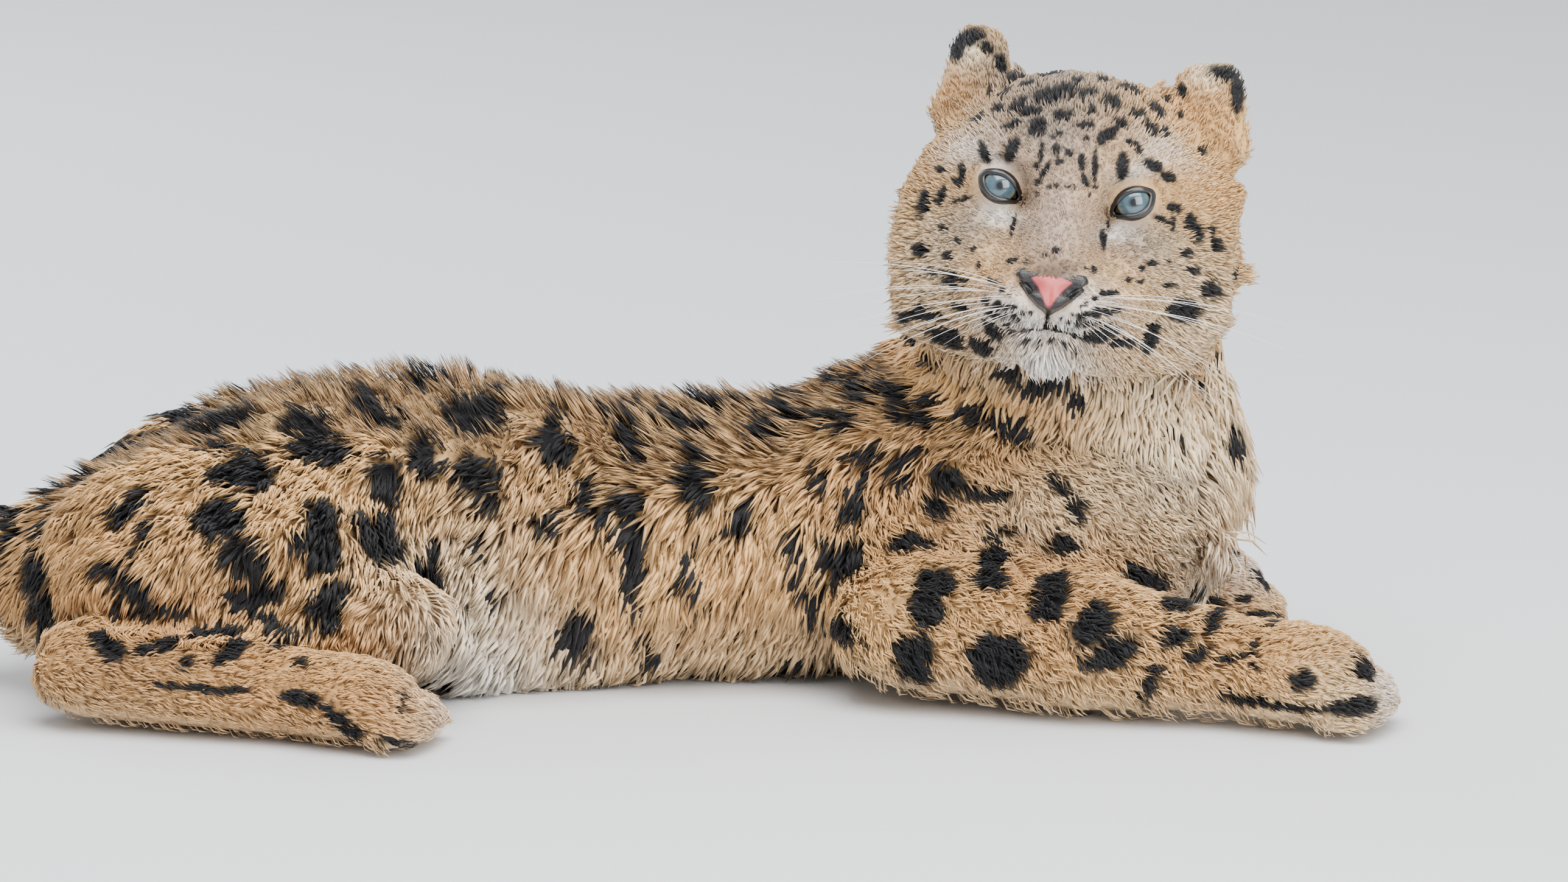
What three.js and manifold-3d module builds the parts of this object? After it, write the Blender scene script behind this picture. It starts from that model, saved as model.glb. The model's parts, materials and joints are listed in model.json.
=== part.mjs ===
// A life-size snow leopard lying on a floor with its head turned to the viewer.
// Millimetres, +Z up, +X towards the chest and -Y towards the viewer.
// The origin is on the floor under the middle of the trunk.
import * as THREE from "three";
import { mergeVertices } from "three/addons/utils/BufferGeometryUtils.js";
import Module from "manifold-3d";

const wasm = await Module();
wasm.setup();

const at = (x, y, z) => new THREE.Vector3(x, y, z);

// Driving dimensions
const GAP = 0.3; // left between two pieces that meet
const TRUNK_SOFT = 46; // how softly the masses of the trunk run together
const LIMB_SOFT = 16;
const FACE_SOFT = 15;
const EYE_RADIUS = 16.5;
const EYE_SPACING = 84;
const EYE_DEPTH = 5; // an eye's centre behind the plane of the pupils' midpoint
const HEAD_YAW = -4; // degrees, towards the tail
const HEAD_PITCH = 11;
const HEAD_ROLL = -6.5;
const HEAD_AT = at(243, -110, 317); // midpoint between the eyes
const FLOOR_DEPTH = 400; // depth of the block that cuts the flats at the floor
const COAT_RISE = 12; // from the core to the outline, half the depth of the coat
const TAIL_RISE = 9;
const LOCK_ROOT = 9; // how deep the root of a lock is sunk
const SEED = 48;
const WAIST = 94; // half the length of the middle of the trunk, between the legs

// Materials
const finish = (color, roughness, metalness = 0) =>
  new THREE.MeshStandardMaterial({ color, roughness, metalness });
const COAT = finish(0xcdb083, 0.9);
const PALE_COAT = finish(0xddd2be, 0.9);
const FACE_COAT = finish(0xbfae96, 0.85);
const IRIS = finish(0x7c9aa6, 0.15);
const NOSE_SKIN = finish(0xb5605a, 0.5);

// Field of a limb that tapers evenly from a ball at a to a ball at b. Fields are
// functions of a point, below zero inside and near enough a distance in millimetres.
function limb(a, ra, b, rb) {
  const axis = b.clone().sub(a);
  const square = axis.lengthSq();
  const near = at(0, 0, 0);
  return (p) => {
    const along = near.copy(p).sub(a).dot(axis) / square;
    const t = Math.min(Math.max(along, 0), 1);
    near.copy(a).addScaledVector(axis, t);
    return near.distanceTo(p) - (ra + (rb - ra) * t);
  };
}

// Field of an egg with half-sizes r, turned about Z by some degrees.
function egg(centre, r, turn = 0) {
  const angle = THREE.MathUtils.degToRad(-turn);
  const q = at(0, 0, 0);
  const up = at(0, 0, 1);
  return (p) => {
    q.copy(p).sub(centre).applyAxisAngle(up, angle).divide(r);
    const inner = q.length();
    const slope = q.divide(r).length();
    return slope < 1e-9 ? -Math.min(r.x, r.y, r.z) : (inner * (inner - 1)) / slope;
  };
}

// Joins fields with a fillet about as wide as soft.
function fuse(fields, soft) {
  return (p) => {
    let d = fields[0](p);
    for (let i = 1; i < fields.length; i++) {
      const e = fields[i](p);
      const h = Math.max(soft - Math.abs(d - e), 0) / soft;
      d = Math.min(d, e) - (h * h * soft) / 4;
    }
    return d;
  };
}

const STEP = 3; // length of a step along a ray, before the last one is halved
const HALVINGS = 12;

// How far a ray that starts inside a field goes before it leaves the field. With
// last, it is the last way out, so that an overhang doesn't hide what is beyond.
function leave(field, from, way, far, last = false) {
  const p = at(0, 0, 0);
  const outside = (r) => field(p.copy(from).addScaledVector(way, r)) > 0;
  let r = last ? far : STEP;
  if (last) while (r > STEP && outside(r - STEP)) r -= STEP;
  else while (r < far && !outside(r)) r += STEP;
  if (r >= far) return far;
  let low = r - STEP;
  for (let i = 0; i < HALVINGS; i++) {
    const middle = (low + r) / 2;
    if (outside(middle)) r = middle;
    else low = middle;
  }
  return (low + r) / 2;
}

// Merges the corners of a geometry that share a place, then moves each by a function.
function moved(geometry, move) {
  geometry.deleteAttribute("normal");
  geometry.deleteAttribute("uv");
  const merged = mergeVertices(geometry, 1e-4);
  const position = merged.getAttribute("position");
  const p = at(0, 0, 0);
  for (let i = 0; i < position.count; i++) {
    p.fromBufferAttribute(position, i);
    const q = move(p);
    position.setXYZ(i, q.x, q.y, q.z);
  }
  return merged;
}

// Evens out a skin and draws it into the hollows of its field: each round moves a
// vertex towards the middle of its neighbours and then back on to the surface.
function settle(geometry, field, rounds) {
  const position = geometry.getAttribute("position");
  const index = geometry.index;
  const touching = Array.from({ length: position.count }, () => new Set());
  for (let i = 0; i < index.count; i++) {
    const next = i % 3 === 2 ? i - 2 : i + 1;
    touching[index.getX(i)].add(index.getX(next));
    touching[index.getX(next)].add(index.getX(i));
  }
  const corners = [at(1, -1, -1), at(-1, -1, 1), at(-1, 1, -1), at(1, 1, 1)];
  const p = at(0, 0, 0);
  const q = at(0, 0, 0);
  const slope = at(0, 0, 0);
  for (let round = 0; round < rounds; round++) {
    const before = geometry.clone().getAttribute("position");
    for (let i = 0; i < position.count; i++) {
      p.set(0, 0, 0);
      for (const j of touching[i]) p.add(q.fromBufferAttribute(before, j));
      p.divideScalar(touching[i].size).lerp(q.fromBufferAttribute(before, i), 0.5);
      for (let pass = 0; pass < 2; pass++) {
        slope.set(0, 0, 0);
        for (const c of corners) slope.addScaledVector(c, field(q.copy(p).addScaledVector(c, 0.5)));
        slope.multiplyScalar(0.5);
        p.addScaledVector(slope, -field(p) / Math.max(slope.lengthSq(), 0.25));
      }
      position.setXYZ(i, p.x, p.y, p.z);
    }
  }
  return geometry;
}

// A skin moved outwards along its normals.
function swell(geometry, by) {
  const out = geometry.clone();
  out.computeVertexNormals();
  const position = out.getAttribute("position");
  const normal = out.getAttribute("normal");
  const p = at(0, 0, 0);
  const n = at(0, 0, 0);
  for (let i = 0; i < position.count; i++) {
    p.fromBufferAttribute(position, i).addScaledVector(n.fromBufferAttribute(normal, i), by);
    position.setXYZ(i, p.x, p.y, p.z);
  }
  out.deleteAttribute("normal");
  return out;
}

// A closed skin over a field, pulled along rays that leave a curve at right
// angles and fan out round its two ends.
function skinTube(field, curve, { sides, steps, capRows, far, up = at(0, 0, 1) }, rounds = 0) {
  const tube = new THREE.CapsuleGeometry(1, 2, capRows, sides, steps);
  const skin = moved(tube, (p) => {
    const t = Math.min(Math.max((p.y + 1) / 2, 0), 1);
    const from = curve.getPoint(t);
    const tangent = curve.getTangent(t);
    const across = tangent.clone().cross(up).normalize();
    const lift = across.clone().cross(tangent);
    const beyond = p.y > 1 ? p.y - 1 : Math.min(p.y + 1, 0);
    const way = tangent.multiplyScalar(beyond);
    way.addScaledVector(across, p.x).addScaledVector(lift, p.z).normalize();
    return from.addScaledVector(way, leave(field, from, way, far));
  });
  return settle(skin, field, rounds);
}

// A closed skin over a field round one centre. Its rings are closest round the
// pole that looks along local +Z, where the face is.
function skinBall(field, centre, { sides, rings, far, crowd }, rounds) {
  const ball = new THREE.SphereGeometry(1, sides, rings);
  const skin = moved(ball, (p) => {
    const share = Math.acos(THREE.MathUtils.clamp(p.y, -1, 1)) / Math.PI;
    const polar = Math.PI * share ** crowd;
    const round = Math.hypot(p.x, p.z) || 1;
    const way = at(p.x / round, -p.z / round, 0);
    if (share < 1e-6 || share > 1 - 1e-6) way.set(0, 0, 0);
    way.multiplyScalar(Math.sin(polar)).setZ(Math.cos(polar)).normalize();
    return centre.clone().addScaledVector(way, leave(field, centre, way, far, true));
  });
  return settle(skin, field, rounds);
}

// Locks of the coat

// A repeatable run of numbers from 0 to 1.
function numbers(seed) {
  let state = seed * 2654435761;
  return () => {
    state = (Math.imul(state ^ (state >>> 15), 2246822519) + 3266489917) >>> 0;
    return state / 4294967296;
  };
}

function slopeAt(field, p) {
  const q = at(0, 0, 0);
  const slope = at(0, 0, 0);
  for (const c of [at(1, -1, -1), at(-1, -1, 1), at(-1, 1, -1), at(1, 1, 1)]) {
    slope.addScaledVector(c, field(q.copy(p).addScaledVector(c, 0.5)));
  }
  return slope.multiplyScalar(0.5);
}

// Moves a point on to the level of a field that is a given height over its surface.
function rest(field, p, height) {
  for (let pass = 0; pass < 4; pass++) {
    const slope = slopeAt(field, p);
    p.addScaledVector(slope, (height - field(p)) / Math.max(slope.lengthSq(), 0.25));
  }
  return slopeAt(field, p).normalize();
}

const LOCK_BEND = 0.45; // cosine of the sharpest bend, in a crease it is left out
// One flat, tapered lock with a blunt ridge. It starts under the surface of its core,
// comes out and lies along the flow, with its tip risen to the outline of the coat.
const LOCK_SPANS = 3;
const LOCK_RISES = [0, 0.1, 0.55, 1.4];
const LOCK_WIDTHS = [0.5, 1, 0.72, 0];
const LOCK_THICKS = [0.8, 1, 0.9, 0];
function lock(core, start, flow, { length, width, thick, rise, turn, grow }) {
  const rings = [];
  const p = start.clone();
  for (let i = 0; i <= LOCK_SPANS; i++) {
    const t = i / LOCK_SPANS;
    const up = rest(core, p, i === 0 ? -LOCK_ROOT : rise * LOCK_RISES[i]);
    const along = flow(p, up).clone().addScaledVector(up, -flow(p, up).dot(up)).normalize();
    along.applyAxisAngle(up, turn * (0.4 + t));
    rings.push({ middle: p.clone(), up, across: along.clone().cross(up) });
    p.addScaledVector(along, length / LOCK_SPANS);
  }
  const runs = rings.slice(1).map((ring, i) => ring.middle.clone().sub(rings[i].middle).normalize());
  if (runs.slice(1).some((run, i) => run.dot(runs[i]) < LOCK_BEND)) return null;
  const tip = rings[LOCK_SPANS].middle;
  const last = tip.clone().sub(rings[LOCK_SPANS - 1].middle).normalize();
  tip.addScaledVector(last, 30 * grow);
  const cone = new THREE.ConeGeometry(1, 1, 3, LOCK_SPANS);
  return moved(cone, (v) => {
    const t = v.y + 0.5;
    const i = Math.round(t * LOCK_SPANS);
    const { middle, up, across } = rings[i];
    const round = Math.max(1 - t, 1e-6);
    if (i === LOCK_SPANS) return middle.clone();
    const wide = ((v.x / round) * (LOCK_WIDTHS[i] * width + 16 * grow)) / Math.sqrt(3);
    const tall = ((v.z / round) * (LOCK_THICKS[i] * thick + 9 * grow)) / 1.5;
    return middle.clone().addScaledVector(across, wide).addScaledVector(up, tall);
  });
}

// Locks in rows along a curve, every second row moved round by half a place. rows holds
// how far along the curve each row starts, from 0 to 1, and before 0 or beyond 1 it
// leans over the curve's end. size gives the measures of a lock, and grow the gap that
// a cut with it leaves.
function lockRows(core, curve, { rows, round, far, up = at(0, 0, 1) }, rules, seed, grow = 0) {
  const { flow, keep, size } = rules;
  const random = numbers(seed);
  const out = [];
  rows.forEach((row, i) => {
    const t = THREE.MathUtils.clamp(row, 0, 1);
    const tangent = curve.getTangentAt(t);
    const across = tangent.clone().cross(up).normalize();
    const lean = (row - t) * 2;
    for (let k = 0; k < round; k++) {
      const angle = (2 * Math.PI * (k + (i % 2) / 2 + 0.3 * (random() - 0.5))) / round;
      const way = across.clone().applyAxisAngle(tangent, angle).addScaledVector(tangent, lean);
      way.normalize();
      const from = curve.getPointAt(t);
      const p = from.clone().addScaledVector(way, leave(core, from, way, far));
      const surface = rest(core, p, 0);
      const vary = 0.88 + 0.24 * random();
      const turn = 0.44 * (random() - 0.5);
      if (!keep(p, surface)) continue;
      const s = size(p, surface);
      const scaled = { ...s, length: s.length * vary, width: s.width * (2 - vary), turn, grow };
      const made = lock(core, p, flow, scaled);
      if (made) out.push(made);
    }
  });
  return out;
}

// Geometry to solid and back
function solid(geometry) {
  const plain = geometry.clone();
  plain.deleteAttribute("normal");
  plain.deleteAttribute("uv");
  const merged = mergeVertices(plain, 1e-4);
  return new wasm.Manifold(
    new wasm.Mesh({
      numProp: 3,
      vertProperties: new Float32Array(merged.getAttribute("position").array),
      triVerts: new Uint32Array(merged.index.array),
    }),
  );
}

function geometryOf(manifold) {
  const { vertProperties, triVerts } = manifold.getMesh();
  const geometry = new THREE.BufferGeometry();
  geometry.setAttribute("position", new THREE.BufferAttribute(vertProperties, 3));
  geometry.setIndex(new THREE.BufferAttribute(triVerts, 1));
  geometry.computeVertexNormals();
  return geometry;
}

// Merges corners closer than a hundredth of a millimetre, and drops the triangles that
// this folds flat, with their opposites.
function tidy(geometry) {
  const plain = geometry.clone();
  plain.deleteAttribute("normal");
  const merged = mergeVertices(plain, 1e-2);
  const faces = new Map();
  const index = merged.index.array;
  for (let i = 0; i < index.length; i += 3) {
    const face = [index[i], index[i + 1], index[i + 2]];
    if (new Set(face).size < 3) continue;
    const key = [...face].sort((a, b) => a - b).join();
    if (faces.has(key)) faces.delete(key);
    else faces.set(key, face);
  }
  merged.setIndex([...faces.values()].flat());
  return merged;
}

// Edges where a solid touches itself, as pairs of points.
function pinches(geometry) {
  const uses = new Map();
  const index = geometry.index.array;
  for (let i = 0; i < index.length; i++) {
    const next = index[i % 3 === 2 ? i - 2 : i + 1];
    const key = `${Math.min(index[i], next)},${Math.max(index[i], next)}`;
    uses.set(key, (uses.get(key) ?? 0) + 1);
  }
  const position = geometry.getAttribute("position");
  const point = (i) => at(0, 0, 0).fromBufferAttribute(position, i);
  return [...uses].filter(([, n]) => n > 2).map(([key]) => key.split(",").map(Number).map(point));
}

// Opens a solid with a thin groove wherever it touches itself.
const GROOVE = 0.6;
function unpinched(manifold) {
  let open = manifold;
  for (let round = 0; round < 6; round++) {
    const touching = pinches(tidy(geometryOf(open)));
    if (touching.length === 0) return open;
    for (const [a, b] of touching) {
      const groove = new THREE.CylinderGeometry(GROOVE, GROOVE, a.distanceTo(b) + 2 * GROOVE, 5);
      const way = b.clone().sub(a).normalize();
      groove.applyQuaternion(new THREE.Quaternion().setFromUnitVectors(at(0, 1, 0), way));
      const middle = a.clone().add(b).divideScalar(2);
      open = open.subtract(solid(groove.translate(middle.x, middle.y, middle.z)));
    }
    open = largest(open);
  }
  return open;
}

// Joins closed surfaces to a solid.
const join = (core, pieces) => pieces.reduce((sum, piece) => sum.add(solid(piece)), core);

// The largest closed body of a solid.
function largest(manifold) {
  const bodies = manifold.decompose();
  return bodies.reduce((a, b) => (a.volume() > b.volume() ? a : b));
}

const group = new THREE.Group();
function addNode(name, manifold, material, parent = group) {
  const geometry = tidy(geometryOf(unpinched(largest(manifold))));
  geometry.computeVertexNormals();
  const mesh = new THREE.Mesh(geometry, material);
  mesh.name = name;
  parent.add(mesh);
  return mesh;
}

// Trunk
const SPINE = new THREE.CatmullRomCurve3([
  at(-372, -52, 84),
  at(-290, -46, 98),
  at(-150, -28, 98),
  at(0, 0, 90),
  at(120, 6, 98),
  at(250, 4, 108),
]);

// Each side's landmarks: near is the viewer's side, far the other one.
const SIDES = {
  right: {
    haunch: at(-262, -112, 84),
    knee: at(-158, -160, 62),
    hock: at(-352, -168, 34),
    footBall: at(-205, -218, 27),
    toeTip: at(-150, -234, 26),
    blade: at(165, -58, 128),
    shoulder: at(282, -70, 104),
    elbow: at(142, -106, 49),
    foreMiddle: at(262, -142, 42),
    wrist: at(352, -166, 33),
    foreToes: at(424, -190, 31),
    outward: -1,
  },
  left: {
    haunch: at(-258, 30, 84),
    knee: at(-146, 98, 62),
    hock: at(-335, 74, 34),
    footBall: at(-190, 158, 27),
    toeTip: at(-135, 172, 26),
    blade: at(172, 62, 126),
    shoulder: at(278, 72, 100),
    elbow: at(140, 118, 49),
    foreMiddle: at(232, 104, 42),
    wrist: at(304, 84, 33),
    foreToes: at(368, 74, 31),
    outward: 1,
  },
};

const barrel = [
  limb(at(-356, -52, 76), 60, at(-210, -38, 96), 88),
  limb(at(-210, -38, 96), 88, at(-130, -24, 96), 92),
  limb(at(-130, -24, 96), 90, at(20, 0, 82), 82),
  limb(at(20, 0, 82), 82, at(130, 6, 94), 91),
  limb(at(130, 6, 94), 88, at(256, 4, 106), 104),
  limb(at(244, 2, 140), 100, at(258, -16, 245), 92),
];
for (const s of Object.values(SIDES)) {
  barrel.push(egg(s.haunch, at(112, 72, 80), -8 * s.outward));
  barrel.push(limb(s.blade, 46, s.shoulder, 56));
}
const trunkField = fuse(barrel, TRUNK_SOFT);
// Half the depth of the coat, less where the belly lies pressed on the floor.
const coatDepth = (p) => COAT_RISE * THREE.MathUtils.smoothstep(p.z, 8, 60);
const trunkCore = (p) => trunkField(p) + coatDepth(p);

// The bent upper parts of the legs, from, how thick, to, how thick.
const upperLegs = (s) => [
  [s.haunch.clone().setZ(74), 70, s.knee, 42],
  [s.knee.clone().add(at(1.3, 0.7, -0.9)), 41, s.hock, 30],
  [s.shoulder, 50, s.elbow, 45],
];
const bothLegs = Object.values(SIDES).flatMap(upperLegs);
const bodyField = fuse([trunkField, ...bothLegs.map((l) => limb(...l))], TRUNK_SOFT / 2);
const bodyCore = (p) => bodyField(p) + coatDepth(p);
const legSkins = bothLegs.map(([a, ra, b, rb]) => {
  const field = limb(a, ra - COAT_RISE, b, rb - COAT_RISE);
  return skinTube(field, new THREE.LineCurve3(a, b), { sides: 9, steps: 1, capRows: 2, far: 99 });
});

const TRUNK_SHAPE = { sides: 18, steps: 13, capRows: 3, far: 250 };
const trunkSkin = skinTube(trunkCore, SPINE, TRUNK_SHAPE, 5);

// The coat lies backwards and down the sides, and straight down on chest and neck.
const trunkFlow = (p, up) => {
  const chest = THREE.MathUtils.smoothstep(p.x + 0.35 * p.z, 190, 300);
  const low = THREE.MathUtils.smoothstep(-p.z, -70, -30);
  const back = at(-1, 0, -0.4 - 0.8 * low);
  return back.lerp(at(-0.12, 0.1 * up.y, -1), chest);
};
const TRUNK_ROWS = {
  rows: [1.1, 0.9, 0.76, 0.62, 0.48, 0.34, 0.2, 0.04],
  round: 8,
  far: 250,
};
const trunkLocks = () => {
  const onRump = (p) => p.x < -345 && Math.abs(p.y + 50) < 50;
  const keep = (p, up) => p.z > 24 && up.z > -0.5 && !onRump(p);
  const size = (p, up) => ({
    length: 160,
    width: 78,
    thick: 14,
    rise: COAT_RISE - 5 + 4 * Math.max(up.z, 0) ** 4,
  });
  return lockRows(bodyCore, SPINE, TRUNK_ROWS, { flow: trunkFlow, keep, size }, SEED);
};

const NECK_LINE = new THREE.LineCurve3(at(236, 0, 168), at(252, -18, 262));
const NECK_SHAPE = { sides: 16, steps: 3, capRows: 2, far: 180, up: at(-1, 0, 0) };
const neckSkin = skinTube(trunkCore, NECK_LINE, NECK_SHAPE);
const NECK_ROWS = { rows: [0.35, 0.8], round: 7, far: 180, up: at(-1, 0, 0) };
const neckLocks = () => {
  const keep = (p) => p.z > 150 && p.z < 290 && p.x > 120;
  const size = () => ({ length: 120, width: 70, thick: 14, rise: COAT_RISE - 4 });
  return lockRows(bodyCore, NECK_LINE, NECK_ROWS, { flow: trunkFlow, keep, size }, SEED + 1);
};

// Forelegs
function forearmSkin(s, grow) {
  const field = fuse(
    [limb(s.elbow, 44, s.foreMiddle, 41), limb(s.foreMiddle, 41, s.wrist, 32)],
    LIMB_SOFT,
  );
  const line = new THREE.QuadraticBezierCurve3(s.elbow, s.foreMiddle, s.wrist);
  const skin = skinTube(field, line, { sides: 11, steps: 4, capRows: 2, far: 90 });
  return solid(swell(skin, grow));
}

// A broad paw with four toes side by side. heel and tip give its run.
function pawSkin(heel, tip, size, grow) {
  const run = tip.clone().sub(heel);
  const length = run.length();
  run.normalize();
  const across = run.clone().cross(at(0, 0, 1)).normalize();
  const turn = THREE.MathUtils.radToDeg(Math.atan2(run.y, run.x));
  const middle = heel.clone().addScaledVector(run, length * 0.42);
  const pad = egg(middle, at(length * 0.62, size.width / 2, size.height / 2), turn);
  const line = new THREE.LineCurve3(heel, middle);
  const shape = { sides: 12, steps: 2, capRows: 3, far: 90 };
  const field = fuse([pad, limb(heel, size.root, middle, size.root * 0.8)], 12);
  let paw = solid(swell(skinTube(field, line, shape), grow));
  const toes = 4;
  for (let i = 0; i < toes; i++) {
    const side = (i - (toes - 1) / 2) / toes;
    const forward = length * (0.92 - 0.5 * side * side);
    const toe = new THREE.SphereGeometry(1, 8, 5);
    const centre = heel.clone().addScaledVector(run, forward);
    centre.addScaledVector(across, side * size.width * 0.92);
    centre.z = size.toe.z;
    const placed = moved(toe, (p) => {
      const q = p.clone();
      const long = q.x * (size.toe.x + grow);
      const wide = q.z * (size.toe.y + grow);
      const tall = q.y * (size.toe.z + grow);
      return centre.clone().addScaledVector(run, long).addScaledVector(across, wide)
        .add(at(0, 0, tall));
    });
    paw = paw.add(solid(placed));
  }
  return paw;
}

const FORE_PAW = { width: 84, height: 62, root: 31, toe: at(24, 13, 18) };
const HIND_PAW = { width: 76, height: 50, root: 28, toe: at(23, 12, 16) };

const forePaw = (s, grow) => pawSkin(s.wrist, s.foreToes, FORE_PAW, grow);
const hindPaw = (s, grow) => pawSkin(s.footBall, s.toeTip, HIND_PAW, grow);

function metatarsusSkin(s, grow) {
  const field = limb(s.hock, 32, s.footBall, 27);
  const line = new THREE.LineCurve3(s.hock, s.footBall);
  const skin = skinTube(field, line, { sides: 10, steps: 3, capRows: 2, far: 80 });
  return solid(swell(skin, grow));
}

// Tail
const TAIL_LINE = new THREE.CatmullRomCurve3([
  at(-372, -50, 92),
  at(-440, -54, 76),
  at(-520, -48, 50),
  at(-602, -22, 32),
  at(-676, 34, 29),
  at(-722, 116, 28),
  at(-728, 208, 28),
  at(-694, 292, 27),
  at(-626, 346, 25),
  at(-548, 362, 22),
]);
const tailOutline = (t) => 33 + 9 * Math.sin(Math.PI * Math.min(t * 1.05, 1)) - 7 * t;
const tailRadius = (t) => tailOutline(t) - TAIL_RISE;

function tailSkin(from, to, steps, grow) {
  const tube = new THREE.CapsuleGeometry(1, 2, 3, 8, steps);
  return solid(moved(tube, (p) => {
    const t = THREE.MathUtils.lerp(from, to, Math.min(Math.max((p.y + 1) / 2, 0), 1));
    const tangent = TAIL_LINE.getTangentAt(t);
    const across = tangent.clone().cross(at(0, 0, 1)).normalize();
    const lift = across.clone().cross(tangent);
    const beyond = p.y > 1 ? p.y - 1 : Math.min(p.y + 1, 0);
    const r = tailRadius(t) + grow;
    return TAIL_LINE.getPointAt(t).addScaledVector(tangent, beyond * r)
      .addScaledVector(across, p.x * r).addScaledVector(lift, p.z * r);
  }));
}

const TAIL_ROWS = {
  rows: [0.06, 0.22, 0.38, 0.54, 0.7, 0.86],
  round: 4,
  far: 60,
};
const TAIL_POINTS = TAIL_LINE.getSpacedPoints(80);
const tailPlace = (p) => {
  let best = 0;
  TAIL_POINTS.forEach((q, i) => {
    if (q.distanceToSquared(p) < TAIL_POINTS[best].distanceToSquared(p)) best = i;
  });
  const along = p.clone().sub(TAIL_POINTS[best]).dot(TAIL_LINE.getTangentAt(best / 80));
  return THREE.MathUtils.clamp(best / 80 + along / TAIL_LINE.getLength(), 0, 1);
};
const tailCore = (p) => {
  const t = tailPlace(p);
  return TAIL_LINE.getPointAt(t).distanceTo(p) - tailRadius(t);
};
const tailLocks = (grow) => {
  const flow = (p) => TAIL_LINE.getTangentAt(tailPlace(p));
  const keep = (p, up) => up.z > -0.7;
  const size = () => ({ length: 165, width: 52, thick: 12, rise: TAIL_RISE - 2 });
  return lockRows(tailCore, TAIL_LINE, TAIL_ROWS, { flow, keep, size }, SEED + 3, grow);
};

// Cutters
function block(centre, size, turn = new THREE.Euler()) {
  const box = new THREE.BoxGeometry(size.x, size.y, size.z);
  box.applyMatrix4(new THREE.Matrix4().makeRotationFromEuler(turn));
  box.translate(centre.x, centre.y, centre.z);
  return solid(box);
}

const BELOW_FLOOR = block(at(0, 0, -FLOOR_DEPTH / 2), at(3000, 3000, FLOOR_DEPTH));
const onFloor = (piece) => piece.subtract(BELOW_FLOOR);

// An oval column along Y that marks out where a leg parts from the trunk.
function legColumn(centre, radii, tilt, inner, outward, grow) {
  const outline = new THREE.Shape();
  outline.absellipse(centre.x, centre.z, radii.x + grow, radii.y + grow, 0, 2 * Math.PI,
    false, THREE.MathUtils.degToRad(tilt));
  const deep = 400;
  const column = new THREE.ExtrudeGeometry(outline, {
    depth: deep,
    bevelEnabled: false,
    curveSegments: 10,
  });
  column.rotateX(Math.PI / 2);
  const start = outward < 0 ? inner + grow : inner - grow + deep;
  column.translate(0, start, 0);
  return solid(column);
}

const LEG_COLUMNS = {
  hind: { centre: at(-250, 0, 76), radii: at(142, 96, 0), tilt: 8, inner: { right: -96, left: 20 } },
  fore: { centre: at(218, 0, 82), radii: at(112, 80, 0), tilt: 14, inner: { right: -66, left: 66 } },
};
function legRegion(which, side, grow) {
  const c = LEG_COLUMNS[which];
  return legColumn(c.centre, c.radii, c.tilt, c.inner[side], SIDES[side].outward, grow);
}

// Head, in its own frame: +X to the viewer's right, +Y up and +Z out of the face,
// from the midpoint between the eyes.
const mirrorX = (field) => {
  const q = at(0, 0, 0);
  return (p) => field(q.set(Math.abs(p.x), p.y, p.z));
};

const faceField = mirrorX(
  fuse(
    [
      egg(at(0, 12, -62), at(72, 60, 80)),
      egg(at(0, 30, -16), at(50, 32, 32)),
      limb(at(28, 17, 0), 15, at(54, 10, -18), 19),
      limb(at(0, 6, 2), 26, at(0, -42, 42), 20),
      limb(at(0, -60, -20), 34, at(0, -68, 28), 24),
      egg(at(0, -55, 48), at(21, 14, 17)),
      egg(at(20, -72, 34), at(26, 20, 28)),
      egg(at(0, -96, 29), at(24, 18, 25)),
      limb(at(44, -24, -8), 22, at(70, -12, -50), 34),
      limb(at(30, -66, 16), 24, at(58, -50, -42), 42),
      limb(at(26, -90, -4), 24, at(52, -74, -56), 40),
      egg(at(62, -44, -60), at(41, 45, 42)),
      egg(at(0, -68, -50), at(57, 43, 54)),
    ],
    FACE_SOFT,
  ),
);

const HEAD_CENTRE = at(0, -32, -30);
const HEAD_SHAPE = { sides: 30, rings: 22, far: 190, crowd: 1.25 };
const headSkin = skinBall(faceField, HEAD_CENTRE, HEAD_SHAPE, 14);

// The ruff of the cheeks lies outwards, back and down.
const RUFF_LINE = new THREE.LineCurve3(at(0, -34, -24), at(0, -34, -56));
const RUFF_ROWS = { rows: [0, 1], round: 11, far: 150, up: at(0, 1, 0) };
const cheekLocks = (grow) => {
  const flow = (p) => at(Math.sign(p.x) * 0.3, -1, -0.4);
  const keep = (p) => p.y < 20 && p.y > -84 && Math.abs(p.x) > 46;
  const size = () => ({ length: 64, width: 40, thick: 9, rise: 6 });
  return lockRows(faceField, RUFF_LINE, RUFF_ROWS, { flow, keep, size }, SEED + 7, grow);
};

const eyeAt = (side) => at((side * EYE_SPACING) / 2, 0, -EYE_DEPTH);
function eyeBall(side, grow) {
  const ball = new THREE.SphereGeometry(EYE_RADIUS + grow, 14, 8);
  const c = eyeAt(side);
  return solid(ball.translate(c.x, c.y, c.z));
}

// The opening of the lids.
function socket(side) {
  const ball = new THREE.SphereGeometry(1, 12, 6);
  const c = eyeAt(side);
  return solid(ball.scale(13.5, 12, 16).translate(c.x + side * 2, c.y, c.z + 22));
}

// The rim of the eyelids, a ring that lies on the eye.
function lids(side) {
  const ring = new THREE.TorusGeometry(13.6, 3.6, 5, 14);
  ring.scale(1, 0.88, 1);
  ring.rotateY(THREE.MathUtils.degToRad(side * 16));
  const c = eyeAt(side);
  return solid(ring.translate(c.x + side * 2.4, c.y, c.z + 10));
}

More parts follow.
